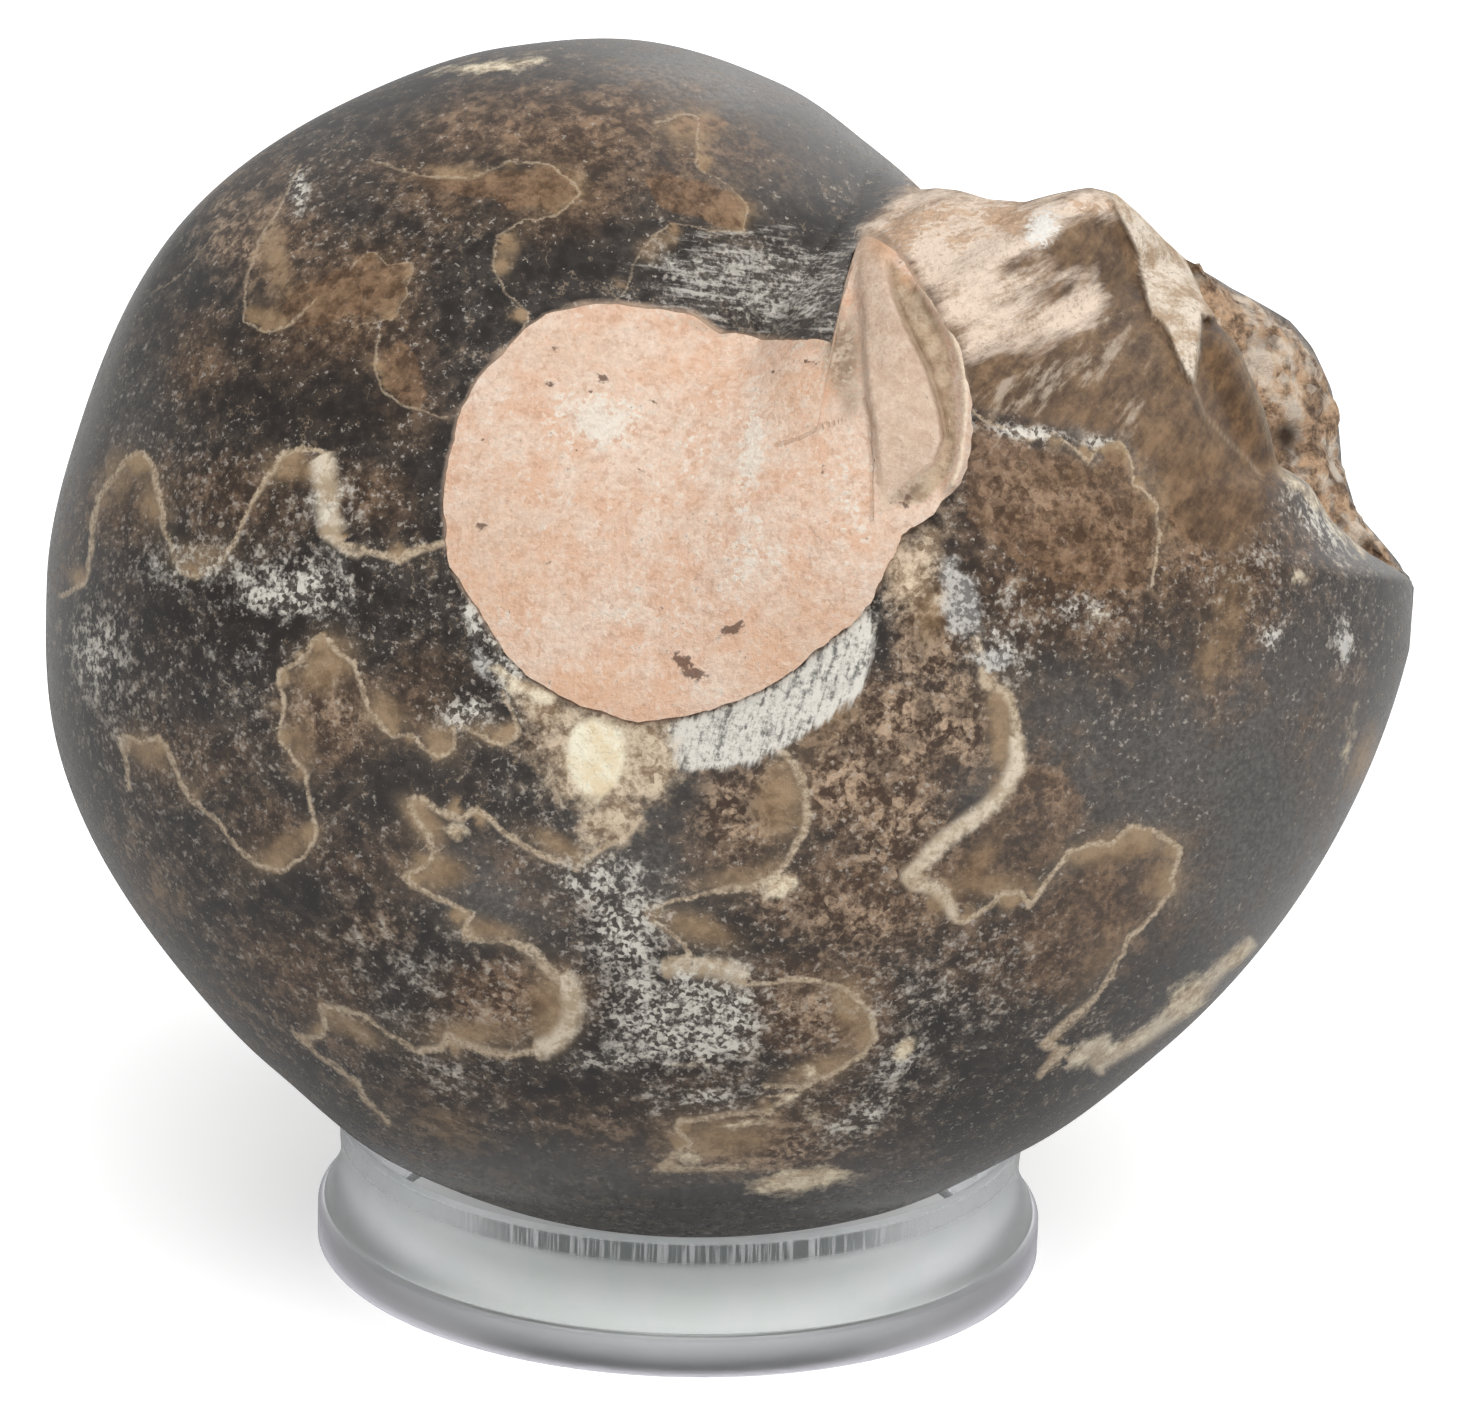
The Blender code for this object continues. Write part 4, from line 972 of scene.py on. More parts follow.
def mark_ammonite(mesh, points, core_rows):
    """Keeps what the stone's material reads, in the sets that STONE_MEASURES names."""
    x, y = to_grid(points)
    front_side = soft_step(points[:, 2] / MM, *FRONT_SIDE)
    signed, width, away, amber = mark_sutures(x, y)
    flap = within(x, y, FLAP, FLAP_EDGE) * front_side
    crust = within(x, y, CRUST, CRUST_EDGE) * front_side
    strip = near_line(x, y, PALE_STRIP, PALE_STRIP_WIDTH) * front_side
    edge = near_line(x, y, PALE_EDGE, PALE_EDGE_WIDTH) * front_side
    core_share = np.zeros(len(x))
    core_share[core_rows] = 1.0
    tongue = np.max([level * within(x, y, ring, TONGUE_EDGE) for level, ring in TONGUES], axis=0)

    def spread(table):
        return patches(x, y, table) * front_side

    keep(mesh, "place", *(points / MM).T)
    keep(mesh, "suture", signed, width, away)
    keep(mesh, "tint", np.maximum(amber, spread(AMBER)), patches(x, y, BROWN), patches(x, y, BLACK))
    keep(mesh, "cover", spread(CREAM) + edge + PALE_STRIP_LEVEL * strip, spread(GRAIN),
         spread(SMOOTH))
    keep(mesh, "broken", (crust - patches(x, y, CRUST_BARE)) * (1.0 - flap),
         within(x, y, SEPTUM, SEPTUM_EDGE) * front_side, core_share)
    keep(mesh, "edges", flap, near_line(x, y, FLUTE, FLUTE_WIDTH) * front_side * (1.0 - flap),
         within(x, y, MATRIX_OUTLINE, INSIDE_EDGE) * front_side)
    keep(mesh, "zones", within(x, y, WHITE_BAND, BAND_EDGE) * front_side, spread(BLUISH),
         spread(SPONGY))
    keep(mesh, "streaks", tongue * front_side, spread(RAYS), spread(FIBRES))
    keep(mesh, "quiet", patches(x, y, QUIET))
    # Painted shade in the core's pits, then the stone's white and orange spots.
    keep(mesh, "worn", patches(x, y, PAINTED_PIT_SHADE), spread(WHITE_CRYSTAL), spread(ORANGE_CRUST))
    keep(mesh, "lines", near_line(x, y, CREASE, CREASE_WIDTH) * front_side,
         within(x, y, CALCITE, CALCITE_EDGE) * front_side, spread(CALCITE_HALO))


def make_plug():
    """The rock plug: its top, then a skirt that drops into the stone's bed."""
    angles = np.linspace(0.0, 2.0 * math.pi, PLUG_COLUMNS, endpoint=False)
    rim = matrix_radius(angles) + PLUG_OVERLAP
    rings = []
    for row in range(1, PLUG_ROWS + 1):
        share = math.sin(0.5 * math.pi * row / PLUG_ROWS) ** PLUG_ROW_POWER
        rings.append(skin_ring(angles, rim * share, plug_top))
    rings[-1][:, 2] -= PLUG_EDGE_SINK * PLUG_OVERLAP
    edge = rings[-1]
    for drop in PLUG_SKIRT_DROPS:
        ring = edge.copy()
        ring[:, 2] -= drop * (PLUG_DEPTH + PLUG_SKIRT_DEPTH)
        rings.append(ring)
    rock, points = loft("umbilical_rock", rings, (pole(plug_top), pole(dome, PLUG_DEPTH)))
    mesh = rock.data
    x, y = to_grid(points)
    keep(mesh, "place", *(points / MM).T)
    # The lip's leaf, the painted shade along its groove, and its band.
    keep(mesh, "lip", within(x, y, LIP_LEAF, LIP_MARKS["leaf"]),
         near_line(x, y, LIP_GROOVE, LIP_MARKS["groove"]), within(x, y, LIP_BAND, LIP_MARKS["band"]))
    keep(mesh, "stains", *[patches(x, y, table) for table in (PALE_STAINS, DARK_STAINS, ORANGE_STAINS)])
    keep(mesh, "edges", patches(x, y, OLIVE_STAINS), near_line(x, y, LIP_CREST, LIP_MARKS["crest"]))
    keep(mesh, "cracks", *[near_line(x, y, line, LIP_MARKS["crack"]) for line in CRACKS])
    return rock


def calm_dome(u, v):
    """The flank under the matrix, averaged over its surroundings away from the rim."""
    angles, away = from_matrix(u, v)
    from_rim = np.maximum(matrix_radius(angles) - away, 0.0)
    reach = np.minimum(CALM_REACH, CALM_SHARE * from_rim)
    total = dome(u, v)
    for turn in np.linspace(0.0, 2.0 * math.pi, CALM_SAMPLES, endpoint=False):
        for share in CALM_CIRCLES:
            total = total + dome(u + share * reach * math.cos(turn), v + share * reach * math.sin(turn))
    return total / (1 + len(CALM_CIRCLES) * CALM_SAMPLES)


def plug_top(u, v):
    """Height of the plug's finished top, with the lip's crest, leaf and groove."""
    height = calm_dome(u, v)
    x, y = to_grid(np.column_stack((u, v, height)))
    lower_right = soft_step((x - PROUD_FROM[0]) + (y - PROUD_FROM[1]), *PROUD_RANGE)
    proud = MATRIX_PROUD[0] + (MATRIX_PROUD[1] - MATRIX_PROUD[0]) * lower_right
    leaf = within(x, y, LIP_LEAF, LIP_LEAF_EDGE)
    leaf = leaf * (1.0 - soft_step(y, *LIP_LEAF_END))
    rise = np.maximum(LIP_CREST_RISE * near_line(x, y, LIP_CREST, LIP_CREST_WIDTH),
                      LIP_LEAF_RISE * leaf)
    return height + proud + rise - LIP_GROOVE_DEPTH * near_line(x, y, LIP_GROOVE, LIP_GROOVE_WIDTH)


# ============================================================ camera and ring

def ring_middle():
    """The middle of the ring's foot."""
    low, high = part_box("display_ring")
    return Vector((0.5 * (low.x + high.x), 0.5 * (low.y + high.y), low.z))


def coil_matrix():
    """Coil frame to the model's frame: leaning back over the ring."""
    upright = Matrix.Rotation(0.5 * math.pi, 4, "X")
    return (Matrix.Translation(ring_middle() + COIL_OVER_RING) @ Matrix.Rotation(-LEAN_BACK, 4, "X")
            @ upright @ Matrix.Rotation(COIL_ROLL, 4, "Z"))


def make_camera(coil):
    """Stands on the coil axis and aims so that the coil's centre falls on GRID_CENTRE."""
    across, up, out = (coil.to_3x3() @ Vector(axis) for axis in ((1, 0, 0), (0, 1, 0), (0, 0, 1)))
    focal = VIEW_DISTANCE / GRID_UNIT
    right_of_centre = GRID_CENTRE[0] - 0.5 * PICTURE[0]
    above_centre = 0.5 * PICTURE[1] - GRID_CENTRE[1]
    ahead = (-out * focal - across * right_of_centre - up * above_centre).normalized()
    side = (across - ahead * across.dot(ahead)).normalized()
    facing = Matrix((side, side.cross(ahead), -ahead)).transposed().to_4x4()
    camera = placed("camera", bpy.data.cameras.new("camera"))
    camera.matrix_world = Matrix.Translation(coil.translation + out * VIEW_DISTANCE) @ facing
    camera.data.sensor_width = SENSOR_WIDTH
    camera.data.lens = focal * SENSOR_WIDTH / PICTURE[0]
    camera.data.clip_start = NEAREST_SEEN
    bpy.context.scene.camera = camera


def make_ring():
    """The turned ring, from the outer edge of its top down the outside and up the bore.

    It keeps on its points the frosting of the cove, the foot and the lip; the lip's front also carries
    streaks and a painted reflection of the dark stone.
    """
    mesh = bpy.data.meshes.new("ring_stand")
    profile = rounded(ring_corners())
    turns = np.linspace(0.0, 2.0 * math.pi, RING_STEPS, endpoint=False)
    points = [(r * math.cos(t), r * math.sin(t), z) for t in turns for r, z in profile]
    count = len(profile)
    faces = []
    for step in range(RING_STEPS):
        here, after = step * count, (step + 1) % RING_STEPS * count
        for k in range(count):
            n = (k + 1) % count
            faces.append((here + k, here + n, after + n, after + k))
    mesh.from_pydata(points, [], faces)
    mesh.shade_smooth()
    mesh.set_sharp_from_angle(angle=math.radians(RING_SHARP))
    r, _, z = np.tile(np.array([(r, 0.0, z) for r, z in profile]) / MM, (RING_STEPS, 1)).T
    outside = r > RING_OUTSIDE
    foot = outside * soft_step(-z, -RING_FOOT[1], -RING_FOOT[0])
    lip = outside * soft_step(z, *RING_LIP) * (1.0 - soft_step(z, *RING_RIM))
    # Painted reflection: the front of the lip is darkened as if it mirrored the dark stone.
    front_reflection = soft_step(-np.abs(np.cos(turns)), *RING_LIP_REFLECTION) * (np.sin(turns) < 0.0)
    front_reflection = np.repeat(front_reflection, count)
    seat = (1.0 - outside) * soft_step(z, *RING_SEAT)
    keep(mesh, "frost_and_reflection", outside * (1.0 - foot) * (1.0 - lip) + seat, foot, lip * front_reflection)
    mesh.transform(Matrix.Translation(ring_middle()))
    ring = placed("ring_stand", mesh)
    ring.visible_shadow = False
    return ring


def ring_corners():
    """Corners of the ring's section as (radius, height, rounding), all in mm."""
    corners = list(RING_TOP)
    for share in np.linspace(*COVE_SHARES):
        line = COVE_TOP[0] + (COVE_FOOT[0] - COVE_TOP[0]) * share
        corners.append((line - COVE_HOLLOW * math.sin(math.pi * share),
                        COVE_TOP[1] - (COVE_TOP[1] - COVE_FOOT[1]) * share, 0.0))
    return corners + RING_BASE


def rounded(corners):
    """The section with its corners rounded off, in metres."""
    points = []
    for k, (r, z, radius) in enumerate(corners):
        here = Vector((r, z))
        if radius == 0.0:
            points.append(here)
            continue
        before = Vector(corners[k - 1][:2]) - here
        after = Vector(corners[(k + 1) % len(corners)][:2]) - here
        start = here + before.normalized() * min(radius, ROUND_LIMIT * before.length)
        end = here + after.normalized() * min(radius, ROUND_LIMIT * after.length)
        for share in ROUND_SHARES:
            points.append((start.lerp(here, share)).lerp(here.lerp(end, share), share))
    return [(p.x * MM, p.y * MM) for p in points]


# ============================================================ materials

def feed(tree, socket, value):
    """Links a socket into another, or sets it to a plain value."""
    if isinstance(value, bpy.types.NodeSocket):
        tree.links.new(value, socket)
    elif socket.type == "RGBA" and len(value) == 3:
        socket.default_value = (*value, 1.0)
    else:
        socket.default_value = value


def put(tree, kind, **inputs):
    """A node with its inputs linked or set, under the names that they have."""
    made = tree.nodes.new("ShaderNode" + kind)
    for name, value in inputs.items():
        feed(tree, made.inputs[name.replace("_", " ")], value)
    return made


def sums(tree, operation, *values):
    """One step of arithmetic."""
    made = tree.nodes.new("ShaderNodeMath")
    made.operation = operation
    for k, value in enumerate(values):
        feed(tree, made.inputs[k], value)
    return made.outputs[0]


def ramp(tree, value, low, high, at_low=0.0, at_high=1.0):
    """Eased change from at_low to at_high as the value goes from low to high."""
    made = tree.nodes.new("ShaderNodeMapRange")
    made.interpolation_type = "SMOOTHSTEP"
    for k, number in enumerate((value, low, high, at_low, at_high)):
        feed(tree, made.inputs[k], number)
    return made.outputs[0]


def tinted(tree, share, first, second):
    """One colour over another by a share from 0 to 1."""
    made = tree.nodes.new("ShaderNodeMix")
    made.data_type = "RGBA"
    feed(tree, made.inputs[0], share)
    feed(tree, made.inputs[6], first)
    feed(tree, made.inputs[7], second)
    return made.outputs[2]


def fractal(tree, place, scale, detail=3.0, roughness=0.55):
    """Cloudy noise about 0.5."""
    return put(tree, "TexNoise", Vector=place, Scale=scale, Detail=detail,
               Roughness=roughness).outputs[0]


def stretched(tree, place, turn, size):
    """The place turned about the third axis and measured in its own sizes, long and short."""
    made = tree.nodes.new("ShaderNodeMapping")
    made.vector_type = "TEXTURE"
    feed(tree, made.inputs["Vector"], place)
    made.inputs["Rotation"].default_value = (0.0, 0.0, math.radians(turn))
    made.inputs["Scale"].default_value = size
    return made.outputs[0]


def crystals(tree, place, scale):
    """One random level for each crystal of a packing."""
    made = put(tree, "TexVoronoi", Vector=place, Scale=scale)
    return put(tree, "SeparateXYZ", Vector=made.outputs["Color"]).outputs[0]


def kept(tree, name):
    """One set of what a skin keeps on its points, such as its place in the coil frame in mm."""
    made = tree.nodes.new("ShaderNodeAttribute")
    made.attribute_name = name
    return made.outputs["Vector"]


def measure(tree, name):
    """The three levels of one kept set."""
    return put(tree, "SeparateXYZ", Vector=kept(tree, name)).outputs


def measures(tree, table):
    """Every measure that a skin keeps, under the names in its table."""
    found = SimpleNamespace()
    for group, names in table.items():
        for name, level in zip(names, measure(tree, group)):
            setattr(found, name, level)
    return found


def start_group(name, inputs, output):
    """A node group with its named inputs and its one output."""
    tree = bpy.data.node_groups.new(name, "ShaderNodeTree")
    for label, kind, value in inputs:
        socket = tree.interface.new_socket(label, in_out="INPUT", socket_type="NodeSocket" + kind)
        if value is not None:
            socket.default_value = value
    tree.interface.new_socket(output, in_out="OUTPUT", socket_type="NodeSocketFloat")
    return tree, tree.nodes.new("NodeGroupInput").outputs, tree.nodes.new("NodeGroupOutput").inputs


def ragged_patch_group():
    """A kept measure made into a mask whose edge follows an uneven value."""
    tree, given, out = start_group("ragged_patch", [
        ("Measure", "Float", 0.0), ("Uneven", "Float", 0.5), ("Amount", "Float", 1.0),
        ("Edge", "Float", 0.1)], "Mask")
    shifted = sums(tree, "MULTIPLY_ADD", sums(tree, "SUBTRACT", given["Uneven"], 0.5),
                   given["Amount"], given["Measure"])
    low = sums(tree, "SUBTRACT", 0.5, given["Edge"])
    high = sums(tree, "ADD", 0.5, given["Edge"])
    feed(tree, out[0], sums(tree, "MULTIPLY", ramp(tree, shifted, low, high),
                            ramp(tree, given["Measure"], 0.0, 0.12)))
    return tree


def flecks_group():
    """Scattered fine crystals: denser where Density is higher, in clusters."""
    tree, given, out = start_group("flecks", [
        ("Fine", "Float", 0.5), ("Cluster", "Float", 0.5), ("Density", "Float", 0.3),
        ("Softness", "Float", 0.06)], "Mask")
    level = sums(tree, "MULTIPLY_ADD", sums(tree, "SUBTRACT", given["Cluster"], 0.5), 0.5,
                 given["Fine"])
    edge = sums(tree, "MULTIPLY_ADD", given["Density"], -0.26, 0.74)
    feed(tree, out[0], ramp(tree, level, sums(tree, "SUBTRACT", edge, given["Softness"]),
                            sums(tree, "ADD", edge, given["Softness"])))
    return tree


def use(tree, group, **inputs):
    """A group placed with its own values."""
    made = tree.nodes.new("ShaderNodeGroup")
    made.node_tree = group
    for name, value in inputs.items():
        feed(tree, made.inputs[name], value)
    return made.outputs[0]


def bumped(tree, height, strength, distance):
    """Low relief from a height, as a normal."""
    return put(tree, "Bump", Strength=strength, Distance=distance, Height=height).outputs["Normal"]


def new_material(name):
    """A material with its nodes and its shader's inputs."""
    made = bpy.data.materials.new(name)
    made.use_nodes = True
    tree = made.node_tree
    return made, tree, tree.nodes["Principled BSDF"].inputs


def share_of(tree, value, share):
    """A value times a share."""
    return sums(tree, "MULTIPLY", value, share)


def more(tree, value, share, base):
    """The base with a share of a value added to it."""
    return sums(tree, "MULTIPLY_ADD", value, share, base)


def either(tree, first, second):
    """The stronger of two masks."""
    return sums(tree, "MAXIMUM", first, second)


def less(tree, value, taken):
    """A value with another taken off."""
    return sums(tree, "SUBTRACT", value, taken)


def mottled(tree, value, low, high, tones):
    """A finish of two tones, from the darker to the lighter as the value rises."""
    return tinted(tree, ramp(tree, value, low, high), *tones)


def over(tree, mask, share, below, tone):
    """A tone over what lies below it, by a share of a mask."""
    return tinted(tree, share_of(tree, mask, share), below, tone)


def stone_grain(tree, at):
    """The noises that the stone's finishes share, from slow clouds to single crystals."""
    place = kept(tree, "place")
    grain = SimpleNamespace(place=place)
    grain.slow = fractal(tree, place, 0.14, 3.0, 0.6)
    grain.mid = fractal(tree, place, 0.7, 5.0, 0.68)
    grain.fine = fractal(tree, place, 2.6, 3.0, 0.72)
    grain.clouds = fractal(tree, place, 0.33, 3.0, 0.60)
    grain.wander = fractal(tree, place, 0.42, 4.0, 0.60)
    grain.jitter = less(tree, grain.fine, 0.5)
    grain.cell = crystals(tree, place, 1.5)
    grain.grit = less(tree, crystals(tree, place, 3.4), 0.5)
    grain.broken = more(tree, grain.jitter, 0.8, grain.mid)
    grain.grainy = more(tree, grain.cell, 0.26, grain.broken)
    grain.spongy = more(tree, grain.grit, 0.30, more(tree, grain.cell, 0.30, grain.broken))
    grain.gritty = more(tree, grain.grit, 0.34, grain.fine)
    salty = more(tree, grain.jitter, 0.9, more(tree, grain.grit, 0.42, grain.mid))
    grain.salty = more(tree, ramp(tree, at.grain, 0.9, 1.8), 0.16, salty)
    return grain


def stone_ground(tree, patch, at, grain):
    """Dark grey brown ground with its smooth, rusty, spongy and black zones."""
    colour = mottled(tree, grain.mid, 0.36, 0.66, TONE_GROUND)
    colour = over(tree, at.smooth, 0.8, colour, mottled(tree, grain.fine, 0.36, 0.64, TONE_SMOOTH))
    brown_level = more(tree, less(tree, grain.slow, 0.5), 1.2, at.brown)
    brown = use(tree, patch, Measure=brown_level, Uneven=grain.mid, Amount=0.9, Edge=0.50)
    colour = over(tree, brown, 0.85, colour, mottled(tree, grain.grainy, 0.44, 0.92, TONE_RUSTY))
    sponge = use(tree, patch, Measure=at.spongy, Uneven=grain.mid, Amount=1.1, Edge=0.40)
    colour = over(tree, sponge, 0.85, colour, mottled(tree, grain.spongy, 0.42, 0.98, TONE_SPONGY))
    black = use(tree, patch, Measure=at.black, Uneven=grain.mid, Amount=0.7, Edge=0.45)
    colour = over(tree, black, 0.6, colour, TONE_BLACK)
    hollow = share_of(tree, either(tree, brown, sponge), ramp(tree, grain.clouds, 0.38, 0.52, 1.0, 0.0))
    return over(tree, hollow, 0.50, colour, TONE_HOLLOW)


def stone_salt(tree, flecks, at, grain, colour):
    """Fine pale crystals through the ground. Gives the colour and where the crystals are."""
    density = more(tree, at.smooth, -0.25, share_of(tree, grain.slow, 0.95))
    for level, share in ((at.grain, 0.70), (at.black, -0.55), (at.spongy, -0.4), (at.quiet, -0.55)):
        density = more(tree, level, share, density)
    salt = use(tree, flecks, Fine=grain.gritty, Cluster=grain.mid, Density=density, Softness=0.05)
    colour = over(tree, salt, more(tree, at.grain, 0.30, 0.30), colour, TONE_SALT)
    specks = use(tree, flecks, Fine=grain.gritty, Cluster=grain.mid,
                 Density=share_of(tree, density, 0.5), Softness=0.03)
    specks = ramp(tree, sums(tree, "ADD", specks, grain.gritty), 1.60, 1.75)
    return over(tree, specks, 0.42, colour, TONE_SPECK), salt


def stone_amber(tree, patch, at, grain, colour):
    """Amber that glows beside the sutures, faint wandering seams and the brown tongues."""
    amber = use(tree, patch, Measure=at.amber, Uneven=grain.mid, Amount=0.55, Edge=0.34)
    colour = over(tree, amber, 0.88, colour, mottled(tree, grain.mid, 0.34, 0.66, TONE_AMBER))
    glow = share_of(tree, at.amber, ramp(tree, less(tree, at.away, at.width), 0.0, 36.0, 1.0, 0.0))
    glow = share_of(tree, glow, ramp(tree, at.width, 0.7, 1.8, 0.25, 1.0))
    glow = share_of(tree, glow, ramp(tree, grain.fine, 0.30, 0.62, 0.55, 1.0))
    colour = over(tree, glow, 0.82, colour, TONE_GLOW)
    seam = ramp(tree, sums(tree, "ABSOLUTE", less(tree, grain.wander, 0.5)), 0.0, 0.014, 1.0, 0.0)
    seam = share_of(tree, seam, ramp(tree, grain.mid, 0.46, 0.60))
    seam = share_of(tree, seam, ramp(tree, at.smooth, 0.1, 0.6, 0.55, 0.0))
    colour = tinted(tree, seam, colour, TONE_SEAM)
    tongue = use(tree, patch, Measure=at.tongue, Uneven=grain.fine, Amount=0.8, Edge=0.16)
    tongue = share_of(tree, tongue, ramp(tree, at.tongue, 0.5, 1.0, 0.45, 1.0))
    return over(tree, tongue, 0.75, colour, mottled(tree, grain.grainy, 0.30, 1.00, TONE_TONGUE))


def stone_sutures(tree, at, grain, colour):
    """Cream lines that waver and wear thin."""
    waver = more(tree, less(tree, grain.mid, 0.5), 12.0, more(tree, grain.jitter, 4.0, at.signed))
    off = sums(tree, "DIVIDE", sums(tree, "ABSOLUTE", waver), at.width)
    valid = ramp(tree, less(tree, at.away, at.width), 5.0, 11.0, 1.0, 0.0)
    broad = ramp(tree, at.width, 3.0, 6.5)
    left = sums(tree, "ADD", grain.fine, share_of(tree, grain.slow, 0.6))
    worn = either(tree, ramp(tree, left, 0.62, 0.86, 0.50, 1.0), broad)
    worn = share_of(tree, worn, ramp(tree, at.width, 0.4, 1.9, 0.35, 1.0))
    line = share_of(tree, share_of(tree, ramp(tree, off, 0.5, 2.1, 1.0, 0.0), valid), worn)
    tones = tinted(tree, broad, mottled(tree, grain.fine, 0.35, 0.65, TONE_THIN_LINE),
                   mottled(tree, grain.mid, 0.38, 0.58, TONE_BROAD_LINE))
    return over(tree, line, 0.92, colour, tones)


def stone_crystals(tree, patch, at, grain, colour):
    """White grain, bands and rays, cream and calcite. Gives the colour, the grain and the cream."""
    white = use(tree, patch, Measure=at.grain, Uneven=grain.mid, Amount=1.5, Edge=0.30)
    colour = over(tree, white, 0.8, colour, mottled(tree, grain.salty, 0.36, 0.70, TONE_GRAIN))
    brushed = fractal(tree, stretched(tree, grain.place, 74.0, (3.0, 0.50, 2.0)), 1.0, 5.0, 0.70)
    band = use(tree, patch, Measure=at.band, Uneven=brushed, Amount=1.6, Edge=0.30)
    colour = over(tree, band, 0.95, colour,
                  mottled(tree, more(tree, grain.jitter, 0.8, brushed), 0.30, 0.58, TONE_BAND))
    drawn = fractal(tree, stretched(tree, grain.place, -6.0, (3.6, 0.45, 2.0)), 1.0, 4.0, 0.68)
    rays = use(tree, patch, Measure=at.rays, Uneven=drawn, Amount=2.6, Edge=0.40)
    colour = over(tree, rays, 0.8, colour,
                  mottled(tree, more(tree, grain.jitter, 0.8, drawn), 0.42, 0.66, TONE_RAYS))
    bluish = use(tree, patch, Measure=at.bluish, Uneven=grain.mid, Amount=1.6, Edge=0.25)
    colour = over(tree, bluish, 0.85, colour, mottled(tree, grain.salty, 0.36, 0.62, TONE_BLUISH))
    halo = use(tree, patch, Measure=at.halo, Uneven=grain.mid, Amount=1.3, Edge=0.35)
    colour = over(tree, halo, 0.9, colour, mottled(tree, grain.grainy, 0.42, 0.86, TONE_HALO))
    cream = use(tree, patch, Measure=at.cream, Uneven=grain.mid, Amount=1.0, Edge=0.24)
    creamy = sums(tree, "ADD", grain.mid, share_of(tree, grain.jitter, 0.6))
    colour = tinted(tree, cream, colour, mottled(tree, creamy, 0.34, 0.66, TONE_CREAM))
    colour = over(tree, at.calcite, 0.95, colour, mottled(tree, grain.mid, 0.36, 0.62, TONE_CALCITE))
    return colour, white, cream


def broken_face(tree, patch, at, grain, colour):
    """The streaked brown septum of the broken end. Gives the colour, its mask and its streaks."""
    streaks = fractal(tree, stretched(tree, grain.place, 52.0, (4.0, 1.0, 2.0)), 1.0, 5.0, 0.68)
    golden = sums(tree, "ADD", more(tree, streaks, 0.75, share_of(tree, grain.mid, 0.25)),
                  more(tree, grain.jitter, 0.25, share_of(tree, grain.clouds, 0.5)))
    face = mottled(tree, golden, 0.56, 1.00, TONE_FACE)
    pale = ramp(tree, more(tree, at.fibres, 0.22, streaks), 0.62, 0.80)
    pale = share_of(tree, pale, ramp(tree, at.fibres, 0.05, 0.5))
    face = over(tree, pale, 0.75, face, TONE_FIBRE)
    septum = use(tree, patch, Measure=at.septum, Uneven=grain.mid, Amount=0.9, Edge=0.45)
    return over(tree, septum, 0.85, colour, face), septum, golden


def broken_crust(tree, patch, flecks, at, grain, colour):
    """The cream crust with its orange and white. Gives the colour, its mask and its dark dots."""
    feathered = fractal(tree, stretched(tree, grain.place, 28.0, (6.0, 1.2, 3.0)), 1.0, 5.0, 0.66)
    crust = use(tree, patch, Measure=at.crust, Uneven=feathered, Amount=2.2, Edge=0.50)
    crusty = mottled(tree, more(tree, grain.jitter, 0.8, feathered), 0.22, 0.50, TONE_CRUST)
    orange = use(tree, patch, Measure=at.orange, Uneven=grain.spongy, Amount=1.4, Edge=0.25)
    crusty = over(tree, orange, 0.75, crusty,
                  mottled(tree, grain.spongy, 0.50, 0.90, TONE_CRUST_ORANGE))
    dots = use(tree, flecks, Fine=grain.gritty, Cluster=grain.mid, Density=0.25, Softness=0.04)
    crusty = over(tree, dots, 0.35, crusty, TONE_CRUST_DOT)
    colour = tinted(tree, crust, colour, crusty)
    white = use(tree, patch, Measure=at.white, Uneven=grain.spongy, Amount=1.8, Edge=0.35)
    return tinted(tree, white, colour, TONE_WHITE), crust, dots


def broken_edges(tree, at, grain, golden, dots, colour):
    """The pale flap, the flute and crease beside it and the rough core behind. The flute's brown and
    the core's pits are darkened with painted shade.
    """
    rubbed = more(tree, grain.mid, 0.6, share_of(tree, grain.wander, 0.6))
    colour = tinted(tree, at.flap, colour,
                    mottled(tree, more(tree, grain.jitter, 0.4, rubbed), 0.48, 0.70, TONE_FLAP))
    colour = over(tree, at.flap, share_of(tree, dots, 0.5), colour, TONE_FLAP_DOT)
    # The flute's own brown, darkened with painted shade in its hollow.
    colour = over(tree, at.flute, 0.75, colour, mottled(tree, golden, 0.60, 1.00, TONE_FLUTE_SHADED))
    colour = over(tree, at.crease, 0.45, colour, TONE_CREASE)
    lumpy = more(tree, grain.jitter, 0.25, grain.mid)
    rubble = mottled(tree, lumpy, 0.36, 0.62, TONE_RUBBLE)
    pale = ramp(tree, more(tree, grain.cell, 0.12, grain.clouds), 0.50, 0.72)
    rubble = over(tree, pale, 0.70, rubble, TONE_RUBBLE_PALE)
    # Painted shade in the core's pits.
    rubble = over(tree, at.pit, 0.9, rubble, TONE_PIT_SHADE)
    colour = tinted(tree, at.core, colour, rubble)
    return over(tree, at.inside, 0.9, colour, TONE_UNDER_ROCK)


